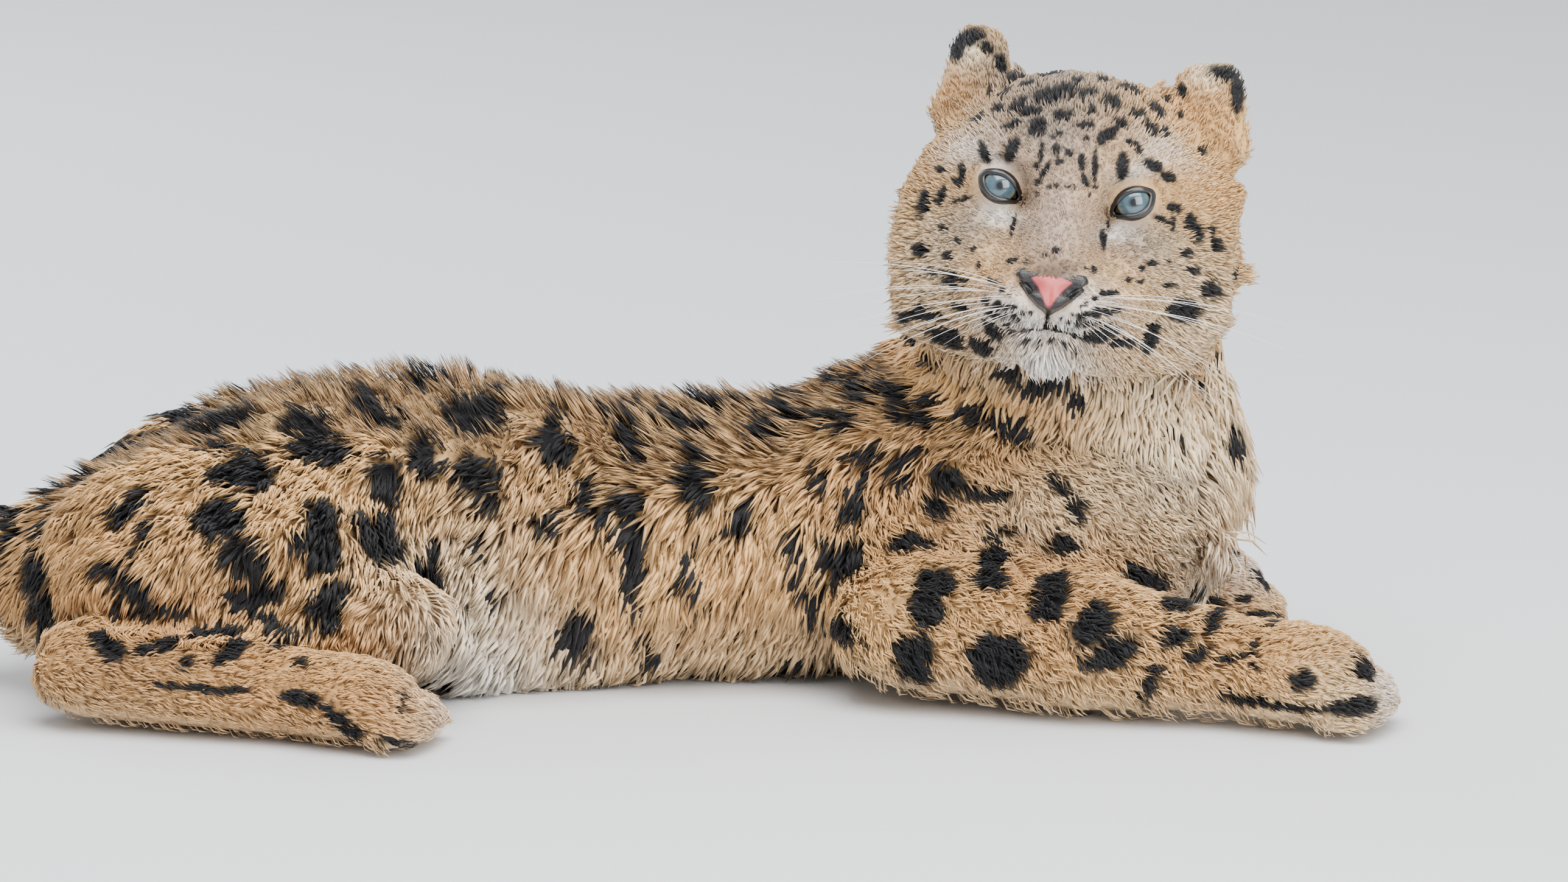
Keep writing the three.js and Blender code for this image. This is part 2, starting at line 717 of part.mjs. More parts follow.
// The cup of an ear, open sideways, and its root sunk in the head.
const EAR = { at: at(70, 60, -74), deep: 19, tall: 31, wide: 24, wall: 4 };
function ear(side, grow) {
  const egglike = (deep, tall, wide) => {
    const ball = new THREE.SphereGeometry(1, 12, 8);
    return moved(ball, (p) => {
      const broad = 1 - 0.26 * p.y;
      return at(p.x * deep * broad, p.y * tall, p.z * wide * broad);
    });
  };
  const outer = solid(egglike(EAR.deep + grow, EAR.tall + grow, EAR.wide + grow));
  const hollow = egglike(EAR.deep - EAR.wall, EAR.tall - EAR.wall, EAR.wide - EAR.wall);
  const inner = solid(hollow.translate(7, 3, 0));
  const mouth = block(at(EAR.deep + 6, 6, 0), at(2 * EAR.deep, 120, 120));
  const cup = grow > 0 ? outer : outer.subtract(inner).subtract(mouth);
  const turn = new THREE.Matrix4().makeRotationFromEuler(
    new THREE.Euler(0, THREE.MathUtils.degToRad(32), THREE.MathUtils.degToRad(-14), "ZYX"),
  );
  const place = new THREE.Matrix4().makeTranslation(EAR.at).multiply(turn);
  const geometry = geometryOf(cup);
  geometry.applyMatrix4(place);
  let placed = solid(geometry);
  if (side < 0) placed = placed.mirror([1, 0, 0]);
  return placed;
}

// Nose pad: a broad wedge with a comma of a nostril on each side.
const NOSE = { at: at(0, -60, 55), halfWidth: 20, height: 20, deep: 14 };
function nosePad(grow) {
  const w = NOSE.halfWidth;
  const outline = new THREE.Shape();
  outline.moveTo(0, -0.62 * NOSE.height);
  outline.quadraticCurveTo(0.42 * w, -0.5 * NOSE.height, 0.86 * w, 0.1 * NOSE.height);
  outline.quadraticCurveTo(1.1 * w, 0.42 * NOSE.height, 0.7 * w, 0.42 * NOSE.height);
  outline.quadraticCurveTo(0, 0.24 * NOSE.height, -0.7 * w, 0.42 * NOSE.height);
  outline.quadraticCurveTo(-1.1 * w, 0.42 * NOSE.height, -0.86 * w, 0.1 * NOSE.height);
  outline.quadraticCurveTo(-0.42 * w, -0.5 * NOSE.height, 0, -0.62 * NOSE.height);
  const pad = new THREE.ExtrudeGeometry(outline, {
    depth: NOSE.deep,
    curveSegments: 3,
    bevelSize: 1.6 + grow,
    bevelThickness: 2.4 + grow,
    bevelSegments: 1,
  });
  pad.rotateX(THREE.MathUtils.degToRad(-16));
  pad.translate(NOSE.at.x, NOSE.at.y, NOSE.at.z - NOSE.deep + 6);
  return solid(pad);
}

function nostril(side) {
  const line = new THREE.CatmullRomCurve3([
    at(side * 6.5, -64.5, 54),
    at(side * 10.5, -60.5, 56),
    at(side * 15.5, -56, 55),
    at(side * 21, -52, 48),
  ].map((p) => p.add(at(0, 0, 6))));
  const slit = new THREE.Shape();
  slit.absellipse(0, 0, 2.6, 2.6, 0, 2 * Math.PI);
  return solid(new THREE.ExtrudeGeometry(slit, { extrudePath: line, steps: 4, curveSegments: 2 }));
}

// The line of the mouth, from the cleft under the nose to both corners.
function mouthLine() {
  const on = (x, y) => {
    const from = at(x, y, 0);
    return at(x, y, leave(faceField, from, at(0, 0, 1), 120, true));
  };
  const section = new THREE.Shape();
  section.absellipse(0, 0, 1.5, 1.5, 0, 2 * Math.PI);
  const cut = (points, steps) =>
    solid(
      new THREE.ExtrudeGeometry(section, {
        extrudePath: new THREE.CatmullRomCurve3(points),
        steps,
        curveSegments: 2,
      }),
    );
  const lips = [-44, -34, -22, -10, 0, 10, 22, 34, 44].map((x) =>
    on(x, -82 - 5.5 * Math.sin((Math.abs(x) / 44) * Math.PI * 0.72)),
  );
  const cleft = [on(0, -70), on(0, -76), on(0, -82.5)];
  return cut(lips, 10).add(cut(cleft, 2));
}

// The head's place in the scene
const headGroup = new THREE.Group();
headGroup.position.copy(HEAD_AT);
const standUp = new THREE.Matrix4().makeRotationX(Math.PI / 2);
const rad = THREE.MathUtils.degToRad;
const facing = new THREE.Matrix4().makeRotationFromEuler(
  new THREE.Euler(rad(-HEAD_PITCH), rad(HEAD_YAW), rad(HEAD_ROLL), "YXZ"),
);
headGroup.quaternion.setFromRotationMatrix(standUp.multiply(facing));
headGroup.updateMatrixWorld(true);
group.add(headGroup);

const inWorld = (manifold) => {
  const geometry = geometryOf(manifold);
  geometry.applyMatrix4(headGroup.matrixWorld);
  return solid(geometry);
};

// Assembly. A piece that meets a later one is cut by that one, grown by the gap.
let skull = join(solid(headSkin), cheekLocks(0));
for (const side of [-1, 1]) skull = skull.subtract(socket(side)).add(lids(side));
for (const side of [-1, 1]) {
  skull = skull.subtract(eyeBall(side, GAP));
}
skull = skull.subtract(nosePad(GAP)).subtract(mouthLine());
let pad = nosePad(0);
for (const side of [-1, 1]) {
  skull = skull.subtract(nostril(side));
  pad = pad.subtract(nostril(side));
}
addNode("head", skull, FACE_COAT, headGroup);
addNode("nose", pad, NOSE_SKIN, headGroup);
const grownHead = join(solid(swell(headSkin, GAP)), cheekLocks(GAP));
for (const [name, side] of [["right", -1], ["left", 1]]) {
  addNode(`ear_${name}`, ear(side, 0).subtract(grownHead), COAT, headGroup);
  addNode(`eye_${name}`, eyeBall(side, 0), IRIS, headGroup);
}

const aboveCut = (grow) =>
  block(at(240, 0, 180 + 250 + grow), at(560, 700, 500), new THREE.Euler(0, rad(14), 0));
const headInWorld = inWorld(grownHead);

const coat = [...trunkLocks(), ...neckLocks()];
let neck = join(solid(neckSkin), coat).intersect(aboveCut(0)).subtract(headInWorld);
addNode("neck", neck, PALE_COAT);

let trunk = join(solid(trunkSkin), [...legSkins, ...coat]).subtract(aboveCut(-GAP)).subtract(headInWorld);
const wholeTrunk = trunk;
const near = {};
for (const side of ["right", "left"]) {
  const s = SIDES[side];
  const foot = hindPaw(s, 0).add(metatarsusSkin(s, 0));
  const grownFoot = hindPaw(s, GAP).add(metatarsusSkin(s, GAP));
  const thigh = wholeTrunk.intersect(legRegion("hind", side, 0)).subtract(grownFoot);
  trunk = trunk.subtract(legRegion("hind", side, GAP)).subtract(grownFoot);
  const paw = forePaw(s, 0);
  const grownPaw = forePaw(s, GAP);
  const arm = wholeTrunk.intersect(legRegion("fore", side, 0)).add(forearmSkin(s, 0));
  trunk = trunk.subtract(legRegion("fore", side, GAP)).subtract(forearmSkin(s, GAP));
  trunk = trunk.subtract(grownPaw);
  near[side] = { foot, thigh, paw, arm: arm.subtract(grownPaw) };
}
for (const side of ["right", "left"]) {
  const { foot, thigh, paw, arm } = near[side];
  addNode(`hindleg_${side}`, onFloor(thigh), COAT);
  addNode(`hindfoot_${side}`, onFloor(foot), COAT);
  addNode(`foreleg_${side}`, onFloor(arm), COAT);
  addNode(`forepaw_${side}`, onFloor(paw), COAT);
}

const tail = join(tailSkin(0, 1, 20, 0), tailLocks(0));
trunk = trunk.subtract(join(tailSkin(0, 1, 20, GAP), tailLocks(GAP)));
trunk = onFloor(trunk);
const slab = (from, to) => block(at((from + to) / 2, 0, 200), at(to - from, 900, 900));
addNode("rump", trunk.intersect(slab(-600, -WAIST - GAP / 2)), COAT);
addNode("torso", trunk.intersect(slab(-WAIST + GAP / 2, WAIST - GAP / 2)), COAT);
addNode("chest", trunk.intersect(slab(WAIST + GAP / 2, 600)), COAT);
const TAIL_CUTS = [0.36, 0.68];
const cutAt = (t) => {
  const disc = new THREE.CylinderGeometry(80, 80, GAP, 24);
  const turn = new THREE.Quaternion().setFromUnitVectors(at(0, 1, 0), TAIL_LINE.getTangentAt(t));
  const c = TAIL_LINE.getPointAt(t);
  disc.applyQuaternion(turn);
  return solid(disc.translate(c.x, c.y, c.z));
};
let tailParts = onFloor(tail);
for (const t of TAIL_CUTS) tailParts = tailParts.subtract(cutAt(t));
const byX = (body) => {
  const { min, max } = body.boundingBox();
  return (min[1] + max[1]) / 2;
};
const lengths = tailParts.decompose().sort((a, b) => b.volume() - a.volume()).slice(0, 3)
  .sort((a, b) => byX(a) - byX(b));
["tail_base", "tail_middle", "tail_tip"].forEach((name, i) => {
  addNode(name, lengths[i], COAT);
});

export default group;
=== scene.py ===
# %% [markdown]
# # A snow leopard lying down
# The whole animal is a still, life-size figure: it lies on its belly with its haunch folded,
# its forelegs stretched out and its face turned to the viewer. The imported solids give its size
# and outline. Here they get one continuous skin, eyes, nose and whiskers, and a coat of tufts.
# Tufts are real mesh, because hair systems would be lost when the model is exported.

# %% The frame
import json
import math

import bmesh
import bpy
import numpy as np
from mathutils import Matrix, Vector
from mathutils.bvhtree import BVHTree
from mathutils.kdtree import KDTree

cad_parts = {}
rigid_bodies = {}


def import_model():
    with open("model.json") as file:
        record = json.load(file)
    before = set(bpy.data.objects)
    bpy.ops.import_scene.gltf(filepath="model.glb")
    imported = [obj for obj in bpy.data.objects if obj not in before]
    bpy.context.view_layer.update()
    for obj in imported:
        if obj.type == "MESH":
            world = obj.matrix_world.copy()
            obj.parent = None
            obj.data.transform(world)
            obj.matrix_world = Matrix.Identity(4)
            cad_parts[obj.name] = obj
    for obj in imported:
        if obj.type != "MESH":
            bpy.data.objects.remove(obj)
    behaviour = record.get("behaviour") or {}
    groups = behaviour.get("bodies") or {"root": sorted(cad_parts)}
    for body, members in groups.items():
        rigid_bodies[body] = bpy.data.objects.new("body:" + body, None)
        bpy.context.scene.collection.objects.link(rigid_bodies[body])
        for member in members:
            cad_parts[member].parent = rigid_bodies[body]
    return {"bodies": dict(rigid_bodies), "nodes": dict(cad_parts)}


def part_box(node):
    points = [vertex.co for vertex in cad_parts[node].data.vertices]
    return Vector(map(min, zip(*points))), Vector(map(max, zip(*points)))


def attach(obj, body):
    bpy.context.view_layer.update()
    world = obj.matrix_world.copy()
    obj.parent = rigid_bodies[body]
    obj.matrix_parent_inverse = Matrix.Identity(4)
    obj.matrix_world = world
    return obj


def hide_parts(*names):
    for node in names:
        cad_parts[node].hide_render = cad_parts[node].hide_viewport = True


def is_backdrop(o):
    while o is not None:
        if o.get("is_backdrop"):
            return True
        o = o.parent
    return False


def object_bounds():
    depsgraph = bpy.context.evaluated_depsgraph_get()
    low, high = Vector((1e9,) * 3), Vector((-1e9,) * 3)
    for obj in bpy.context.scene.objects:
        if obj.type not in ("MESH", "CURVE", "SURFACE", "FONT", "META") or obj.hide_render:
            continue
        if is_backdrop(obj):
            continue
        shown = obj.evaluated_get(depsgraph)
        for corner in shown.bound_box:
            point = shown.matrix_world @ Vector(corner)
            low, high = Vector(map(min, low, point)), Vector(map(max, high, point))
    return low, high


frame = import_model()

packed = set(frame["nodes"].values()) | set(frame["bodies"].values())
for left in [o for o in bpy.data.objects if o not in packed]:
    bpy.data.objects.remove(left)

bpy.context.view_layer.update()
MM = 0.001


def placed(name, data):
    """A new object of the scene that holds the mesh, camera or light."""
    made = bpy.data.objects.new(name, data)
    bpy.context.scene.collection.objects.link(made)
    return made


# %% [markdown]
# ## Camera
# The picture was taken from far away with a long lens, a little above the animal's eye level.
# A far camera keeps the paws from looking larger than the haunch. One picture element is
# 0.37 mm on the plane through the near side of the body, and that sets the lens.

# %% Camera
SCALE = 0.37 * MM  # metres per picture element at the near side of the body
NEAR_SIDE = 0.11  # how far that plane is in front of the middle of the body
PICTURE_WIDE = 2576
DISTANCE = 8.0
ELEVATION = math.radians(11)
VIEW_RIGHT = Vector((1, 0, 0))
VIEW_UP = Vector((0, math.sin(ELEVATION), math.cos(ELEVATION)))
VIEW_BACK = Vector((0, -math.cos(ELEVATION), math.sin(ELEVATION)))
MIDDLE_RIGHT, MIDDLE_UP = 71.5 * MM, 139.4 * MM

lens_data = bpy.data.cameras.new("long_lens")
lens_data.sensor_width = 36
lens_data.lens = 36 * (DISTANCE - NEAR_SIDE) / (SCALE * PICTURE_WIDE)
lens_data.clip_end = 60
camera = placed("long_lens", lens_data)
camera.location = VIEW_RIGHT * MIDDLE_RIGHT + VIEW_UP * MIDDLE_UP + VIEW_BACK * DISTANCE
camera.rotation_euler = (math.pi / 2 - ELEVATION, 0, 0)
bpy.context.scene.camera = camera
print("lens", round(lens_data.lens, 1), "mm at", DISTANCE, "m")

# %% [markdown]
# ## Places on the head
# The head is turned and tipped, so what belongs to the face is measured in the head's own
# frame: x to the viewer's right, y up and z out of the face, from a point between the eyes.

# %% Head frame
HEAD = (
    Matrix.Translation((0.243, -0.110, 0.317))
    @ Matrix.Rotation(math.radians(90), 4, "X")
    @ Matrix.Rotation(math.radians(-4), 4, "Y")
    @ Matrix.Rotation(math.radians(-11), 4, "X")
    @ Matrix.Rotation(math.radians(-6.5), 4, "Z")
)
HEAD_BACK = HEAD.inverted()


def in_head(points):
    """Places in the row frame as millimetres in the head's frame."""
    m = np.array(HEAD_BACK)
    return (points @ m[:3, :3].T + m[:3, 3]) / MM


def from_head(points):
    """The other way: millimetres in the head's frame to places in the row frame."""
    m = np.array(HEAD)
    return (np.asarray(points, float) * MM) @ m[:3, :3].T + m[:3, 3]


print("middle of the eyes", from_head([[0, 0, 0]]).round(3))

# %% [markdown]
# ## The skin
# Under the coat lies one closed skin. The solids carry locks of hair, so a copy of them is
# joined, turned into one surface by voxels, smoothed until the locks are gone, and moved
# inwards by the depth of the coat. The face keeps its form, because its fur is short.

# %% Helpers for surfaces
FACE_NODES = ["head", "ear_right", "ear_left"]
BODY_NODES = [n for n in frame["nodes"] if n not in FACE_NODES and n[:3] not in ("eye", "nos")]


def coordinates(mesh):
    """The mesh's vertices as an array."""
    co = np.empty(len(mesh.vertices) * 3, np.float64)
    mesh.vertices.foreach_get("co", co)
    return co.reshape(-1, 3)


def triangles_of(mesh):
    """The mesh's triangles as an array of vertex numbers."""
    mesh.calc_loop_triangles()
    tris = np.empty(len(mesh.loop_triangles) * 3, np.int32)
    mesh.loop_triangles.foreach_get("vertices", tris)
    return tris.reshape(-1, 3)


def vertex_normals(co, tris):
    """Unit normals at the vertices, each face counted by its area."""
    face = np.cross(co[tris[:, 1]] - co[tris[:, 0]], co[tris[:, 2]] - co[tris[:, 0]])
    out = np.zeros_like(co)
    for corner in range(3):
        for axis in range(3):
            out[:, axis] += np.bincount(tris[:, corner], face[:, axis], len(co))
    return out / np.maximum(np.linalg.norm(out, axis=1, keepdims=True), 1e-12)


def relaxed(values, edges, rounds, share):
    """Values at the vertices, drawn towards their neighbours' mean by share, again and again."""
    count = np.bincount(edges.ravel(), minlength=len(values)).astype(float)
    share = np.broadcast_to(share, (len(values),))
    flat = values.reshape(len(values), -1).copy()
    for _ in range(rounds):
        for k in range(flat.shape[1]):
            total = np.bincount(edges[:, 0], flat[edges[:, 1], k], len(values))
            total += np.bincount(edges[:, 1], flat[edges[:, 0], k], len(values))
            flat[:, k] += share * (total / np.maximum(count, 1) - flat[:, k])
    return flat.reshape(values.shape)


def edges_of(mesh):
    """The mesh's edges as an array of vertex numbers."""
    e = np.empty(len(mesh.edges) * 2, np.int32)
    mesh.edges.foreach_get("vertices", e)
    return e.reshape(-1, 2)


def with_modifier(mesh, kind, **settings):
    """The mesh after one modifier, as a new mesh."""
    holder = placed("holder", mesh)
    modifier = holder.modifiers.new("step", kind)
    for name, value in settings.items():
        setattr(modifier, name, value)
    graph = bpy.context.evaluated_depsgraph_get()
    made = bpy.data.meshes.new_from_object(holder.evaluated_get(graph))
    bpy.data.objects.remove(holder)
    return made


def joined_copy(names, swell):
    """One mesh of merged copies of the named solids, each swollen a little so that they meet."""
    bm = bmesh.new()
    for name in names:
        bm.from_mesh(frame["nodes"][name].data)
    bmesh.ops.remove_doubles(bm, verts=bm.verts, dist=1e-6)
    bm.normal_update()
    for v in bm.verts:
        v.co += v.normal * swell
    mesh = bpy.data.meshes.new("joined")
    bm.to_mesh(mesh)
    bm.free()
    return mesh


print(len(BODY_NODES), "solids of the body,", len(FACE_NODES), "of the head")

# %% Which part of the animal a place is on
NODE_NAMES = sorted(FACE_NODES + BODY_NODES)
NODE_TREE = KDTree(sum(len(frame["nodes"][n].data.vertices) for n in NODE_NAMES))
number = 0
for place, name in enumerate(NODE_NAMES):
    for v in frame["nodes"][name].data.vertices:
        NODE_TREE.insert(v.co, number)
        number += 1
NODE_TREE.balance()
NODE_OF = np.concatenate(
    [np.full(len(frame["nodes"][n].data.vertices), i) for i, n in enumerate(NODE_NAMES)]
)


def parts_at(points):
    """For each place, the number in NODE_NAMES of the solid that it is on."""
    return NODE_OF[[NODE_TREE.find(p)[1] for p in points]]


def is_part(labels, *starts):
    """True where the label's name starts with one of these words."""
    wanted = [i for i, n in enumerate(NODE_NAMES) if n.startswith(starts)]
    return np.isin(labels, wanted)


print(number, "corners of", len(NODE_NAMES), "solids")

# %% Skin of the body
COAT_DEPTH = {"rump": 9, "torso": 9, "chest": 9, "neck": 9, "tail": 6, "hindleg": 5,
              "foreleg": 4.5, "hindfoot": 3, "forepaw": 3, "head": 12, "ear": 2}
SMOOTHING = {"rump": 1, "torso": 1, "chest": 1, "neck": 1, "tail": 0.8, "hindleg": 0.5,
             "foreleg": 0.35, "hindfoot": 0.1, "forepaw": 0.08, "head": 1, "ear": 0}


def by_part(labels, table):
    """The table's value for the part that each label is on."""
    out = np.zeros(len(labels))
    for word, value in table.items():
        out[is_part(labels, word)] = value
    return out


def sunk(mesh, rounds, depths, smoothing):
    """The mesh smoothed until its locks are gone and moved in by the depth of the coat."""
    co, tris, edges = coordinates(mesh), triangles_of(mesh), edges_of(mesh)
    labels = parts_at(co)
    share = relaxed(by_part(labels, smoothing), edges, 6, 0.5)
    depth = relaxed(by_part(labels, depths), edges, 10, 0.5) * MM
    co = relaxed(co, edges, rounds, 0.5 * share)
    co -= vertex_normals(co, tris) * depth[:, None]
    mesh.vertices.foreach_set("co", co.ravel())
    mesh.update()
    return mesh


BODY_VOXEL = 4.5 * MM
LOCK_ROUNDS = 34  # rounds of smoothing that take the locks off the body
body_mesh = with_modifier(joined_copy(BODY_NODES + ["head"], 0.6 * MM), "REMESH",
                          mode="VOXEL", voxel_size=BODY_VOXEL)
body_mesh = sunk(body_mesh, LOCK_ROUNDS, COAT_DEPTH, SMOOTHING)
body_mesh = with_modifier(body_mesh, "REMESH", mode="VOXEL", voxel_size=BODY_VOXEL)
print("body", len(body_mesh.polygons), "faces")

# %% Skin of the head
def weight(local, place, size):
    """A soft spot: 1 at a place in the head's frame, fading over its size in millimetres."""
    gone = (local - np.array(place, float)) / np.array(size, float)
    return np.exp(-(gone ** 2).sum(axis=1))


HEAD_VOXEL = 2.2 * MM  # finer than the body's, for the face
head_mesh = with_modifier(joined_copy(FACE_NODES + ["eye_right", "eye_left", "nose"], 0.3 * MM),
                          "REMESH", mode="VOXEL", voxel_size=HEAD_VOXEL)
co, tris, edges = coordinates(head_mesh), triangles_of(head_mesh), edges_of(head_mesh)
local = in_head(co)
labels = parts_at(co)
front = 1 / (1 + np.exp(-(local[:, 2] + 28) / 10))
mild = front * np.exp(-(local[:, 0] / 62) ** 4)
ear = relaxed(is_part(labels, "ear").astype(float), edges, 4, 0.5)
share = (0.5 - 0.3 * mild) * (1 - 0.8 * ear)
beyond = np.clip((np.abs(local[:, 0]) - 62) / 20, 0, 1) * np.clip((30 - local[:, 1]) / 30, 0, 1)
co = relaxed(co, edges, 45, share)
co = relaxed(co, edges, 110, 0.5 * beyond * (1 - ear))
local = in_head(co)
around = np.hypot(local[:, 0] / 1.05, local[:, 1] + 22)
ruff = np.clip((around - 34) / 62, 0, 1) ** 1.5 * np.clip((34 - local[:, 1]) / 60, 0.3, 1)
behind = np.clip((-10 - local[:, 2]) / 60, 0, 1)
depth = 1.8 - 5.0 * beyond * (local[:, 2] > -70) + 8 * np.maximum(ruff, 0.8 * behind)
depth = relaxed(depth * (1 - 0.9 * ear), edges, 8, 0.5)
co -= vertex_normals(co, tris) * depth[:, None] * MM
head_mesh.vertices.foreach_set("co", co.ravel())
head_mesh.update()
print("head", len(head_mesh.polygons), "faces")

# %% [markdown]
# ## Modelling the face
# A face is read more closely than anything else, so it is modelled as with clay: each move
# pushes a soft spot of the skin some millimetres in the head's frame. The eyes are balls that
# sit deep in the head. The skin opens over each in the shape of an almond, and around the
# opening it lies on the ball as the lids do.

# %% Clay moves
def pushed(points, moves):
    """The points after each (place, size, push) of the list, all in the head's millimetres."""
    points = points.copy()
    for place, size, push in moves:
        points += weight(points, place, size)[:, None] * np.array(push, float)
    return points


def both_sides(moves):
    """Each move and its mirror image on the other side of the face."""
    flip = np.array([-1, 1, 1])
    return [m for place, size, push in moves
            for m in ((place, size, push), (flip * place, size, flip * push))]


tops = in_head(co)
FRONT = float(tops[(np.abs(tops[:, 0]) < 6) & (np.abs(tops[:, 1] + 62) < 6), 2].max())
hollow = np.maximum(weight(tops, (24, -26, FRONT - 34), (17, 24, 34)),
                    weight(tops, (-24, -26, FRONT - 34), (17, 24, 34)))
co = relaxed(co, edges, 60, 0.5 * np.minimum(1, 1.3 * hollow))

CLAY = both_sides([
    ((21, -70, FRONT - 8), (15, 11, 22), (3, 0, 6)),  # whisker pad
    ((27, -48, FRONT - 22), (12, 14, 22), (1, 0, 3)),  # beside the nose
    ((52, -52, FRONT - 52), (22, 26, 30), (4, 2, 6)),  # cheek
    ((82, -38, FRONT - 90), (32, 34, 50), (-5, 0, 3)),  # ruff of the cheek
    ((38, 17, FRONT - 58), (19, 7, 22), (0, -1, 6)),  # brow
    ((46, -19, FRONT - 56), (14, 6, 20), (0, 0, -2)),  # below the eye
    ((14, -2, FRONT - 40), (7, 16, 24), (0, 0, -2)),  # inner corner of the eye
]) + [
    ((0, -76, FRONT - 4), (3, 6, 14), (0, 0, -5)),  # groove below the nose
    ((0, -30, FRONT - 22), (15, 26, 22), (0, 0, 3)),  # bridge
    ((0, -106, FRONT - 14), (20, 12, 22), (0, -3, 6)),  # chin
    ((88, 66, -70), (34, 40, 60), (13, -5, 0)),  # the ear on the viewer's right sits wider
    ((-74, 30, -60), (22, 22, 55), (-17, 0, 0)),  # broad outer foot of each ear
    ((86, 26, -60), (22, 22, 55), (20, 0, 0)),
    ((0, 78, -50), (70, 30, 80), (0, 6, 0)),  # crown
    ((-52, 74, -60), (20, 20, 60), (0, 14, 0)),  # and its rise to the ears
    ((54, 66, -60), (22, 22, 60), (0, 14, 0)),
    ((99, 20, -60), (20, 13, 50), (7, 0, 0)),
    ((0, -64, FRONT), (19, 10, 16), (0, 0, -9)),  # bed of the nose pad
    ((17, -60, FRONT - 6), (7, 6, 12), (0, 0, -4)),  # bed of the nostril's wing
    ((-17, -60, FRONT - 6), (7, 6, 12), (0, 0, -4)),
]
CHEEK_REACH = {-1: 99, 1: 111}  # past it, what is left of the cheek's locks is pressed flat
local = pushed(in_head(co), CLAY)
low_part = local[:, 1] < 16
for side, most in CHEEK_REACH.items():
    over = np.maximum(side * local[:, 0] - most, 0) * low_part
    local[:, 0] -= side * 0.85 * over

lip = -83 + 7 * np.abs(local[:, 0] / 36) ** 1.5 * (np.abs(local[:, 0]) < 44) * -0.4
mouth = np.exp(-((local[:, 1] - lip) / 2.6) ** 2) * (local[:, 2] > FRONT - 52)
mouth *= 1 / (1 + np.exp((np.abs(local[:, 0]) - 40) / 3))
local[:, 2] -= 5 * mouth
print("face moved by up to", round(float(np.abs(from_head(local) - co).max() / MM), 1), "mm")

# %% Where the eyes are
def ball_of(name):
    """Centre and radius of the sphere that fits a solid's corners best."""
    points = coordinates(frame["nodes"][name].data)
    system = np.c_[2 * points, np.ones(len(points))]
    answer = np.linalg.lstsq(system, (points ** 2).sum(axis=1), rcond=None)[0]
    return answer[:3], math.sqrt(answer[3] + (answer[:3] ** 2).sum())


GAZE = np.array(VIEW_BACK.normalized())
EYE_TILT = {"eye_right": 28, "eye_left": -20}  # degrees by which the long axis is turned
EYE_SHIFT = {"eye_right": (0, -2.2), "eye_left": (-2.8, -1.8)}  # mm across and up
EYE_FRAMES = {}
for name, tilt in EYE_TILT.items():
    middle, radius = ball_of(name)
    middle = middle + np.array(VIEW_RIGHT) * EYE_SHIFT[name][0] * MM
    middle = middle + np.array(VIEW_UP) * EYE_SHIFT[name][1] * MM
    turn = Matrix.Rotation(math.radians(-tilt), 3, Vector(GAZE))
    side = np.array(turn @ VIEW_RIGHT)
    EYE_FRAMES[name] = (middle, radius, side, np.cross(GAZE, side))
    print(name, "centre", middle.round(4), "radius", round(radius, 4))


def almond(angle, inner):
    """Distance from the middle of the eye to the edge of its opening, in metres."""
    tall = np.where(np.sin(angle) > 0, 7.9, 9.0)
    plain = 1 / np.sqrt((np.cos(angle) / 11.4) ** 2 + (np.sin(angle) / tall) ** 2)
    gap = np.abs((angle - inner + np.pi) % (2 * np.pi) - np.pi)
    far = np.abs((angle - inner) % (2 * np.pi) - np.pi)
    return (plain + 4.2 * np.exp(-(gap / 0.32) ** 2) + 1.6 * np.exp(-(far / 0.3) ** 2)) * MM


EYE_INNER = {"eye_right": math.radians(-8), "eye_left": math.radians(188)}

# %% Sockets and lids
co = from_head(local)
for name, (middle, radius, side, up) in EYE_FRAMES.items():
    gone = co - middle
    a, b, depth = gone @ side, gone @ up, gone @ GAZE
    away = np.hypot(a, b)
    edge = almond(np.arctan2(b, a), EYE_INNER[name])
    near = (depth > -0.004) & (away < 0.036)
    outside = away - edge
    on_ball = np.sqrt(np.maximum((radius + 1.6 * MM) ** 2 - away ** 2, 0))
    blend = np.clip(outside / (13 * MM), 0, 1)
    blend = blend * blend * (3 - 2 * blend)
    lid = on_ball + (depth - on_ball) * blend
    hole = np.clip(-outside / (2.5 * MM), 0, 1)
    target = np.where(outside > 0, lid, on_ball - 7 * MM * hole)
    co += np.where(near, target - depth, 0)[:, None] * GAZE
head_mesh.vertices.foreach_set("co", co.ravel())
head_mesh.update()
print("sockets cut")

# %% One closed skin
def largest(mesh):
    """The mesh's largest island alone."""
    bm = bmesh.new()
    bm.from_mesh(mesh)
    unseen, islands = set(bm.verts), []
    while unseen:
        stack, island = [unseen.pop()], []
        while stack:
            v = stack.pop()
            island.append(v)
            for e in v.link_edges:
                other = e.other_vert(v)
                if other in unseen:
                    unseen.remove(other)
                    stack.append(other)
        islands.append(island)
    islands.sort(key=len)
    bmesh.ops.delete(bm, geom=[v for i in islands[:-1] for v in i], context="VERTS")
    bm.to_mesh(mesh)
    bm.free()
    return mesh


def united(first, second):
    """The two closed meshes joined into one."""
    holder = placed("second", second)
    made = with_modifier(first, "BOOLEAN", operation="UNION", solver="MANIFOLD", object=holder)
    bpy.data.objects.remove(holder)
    return made


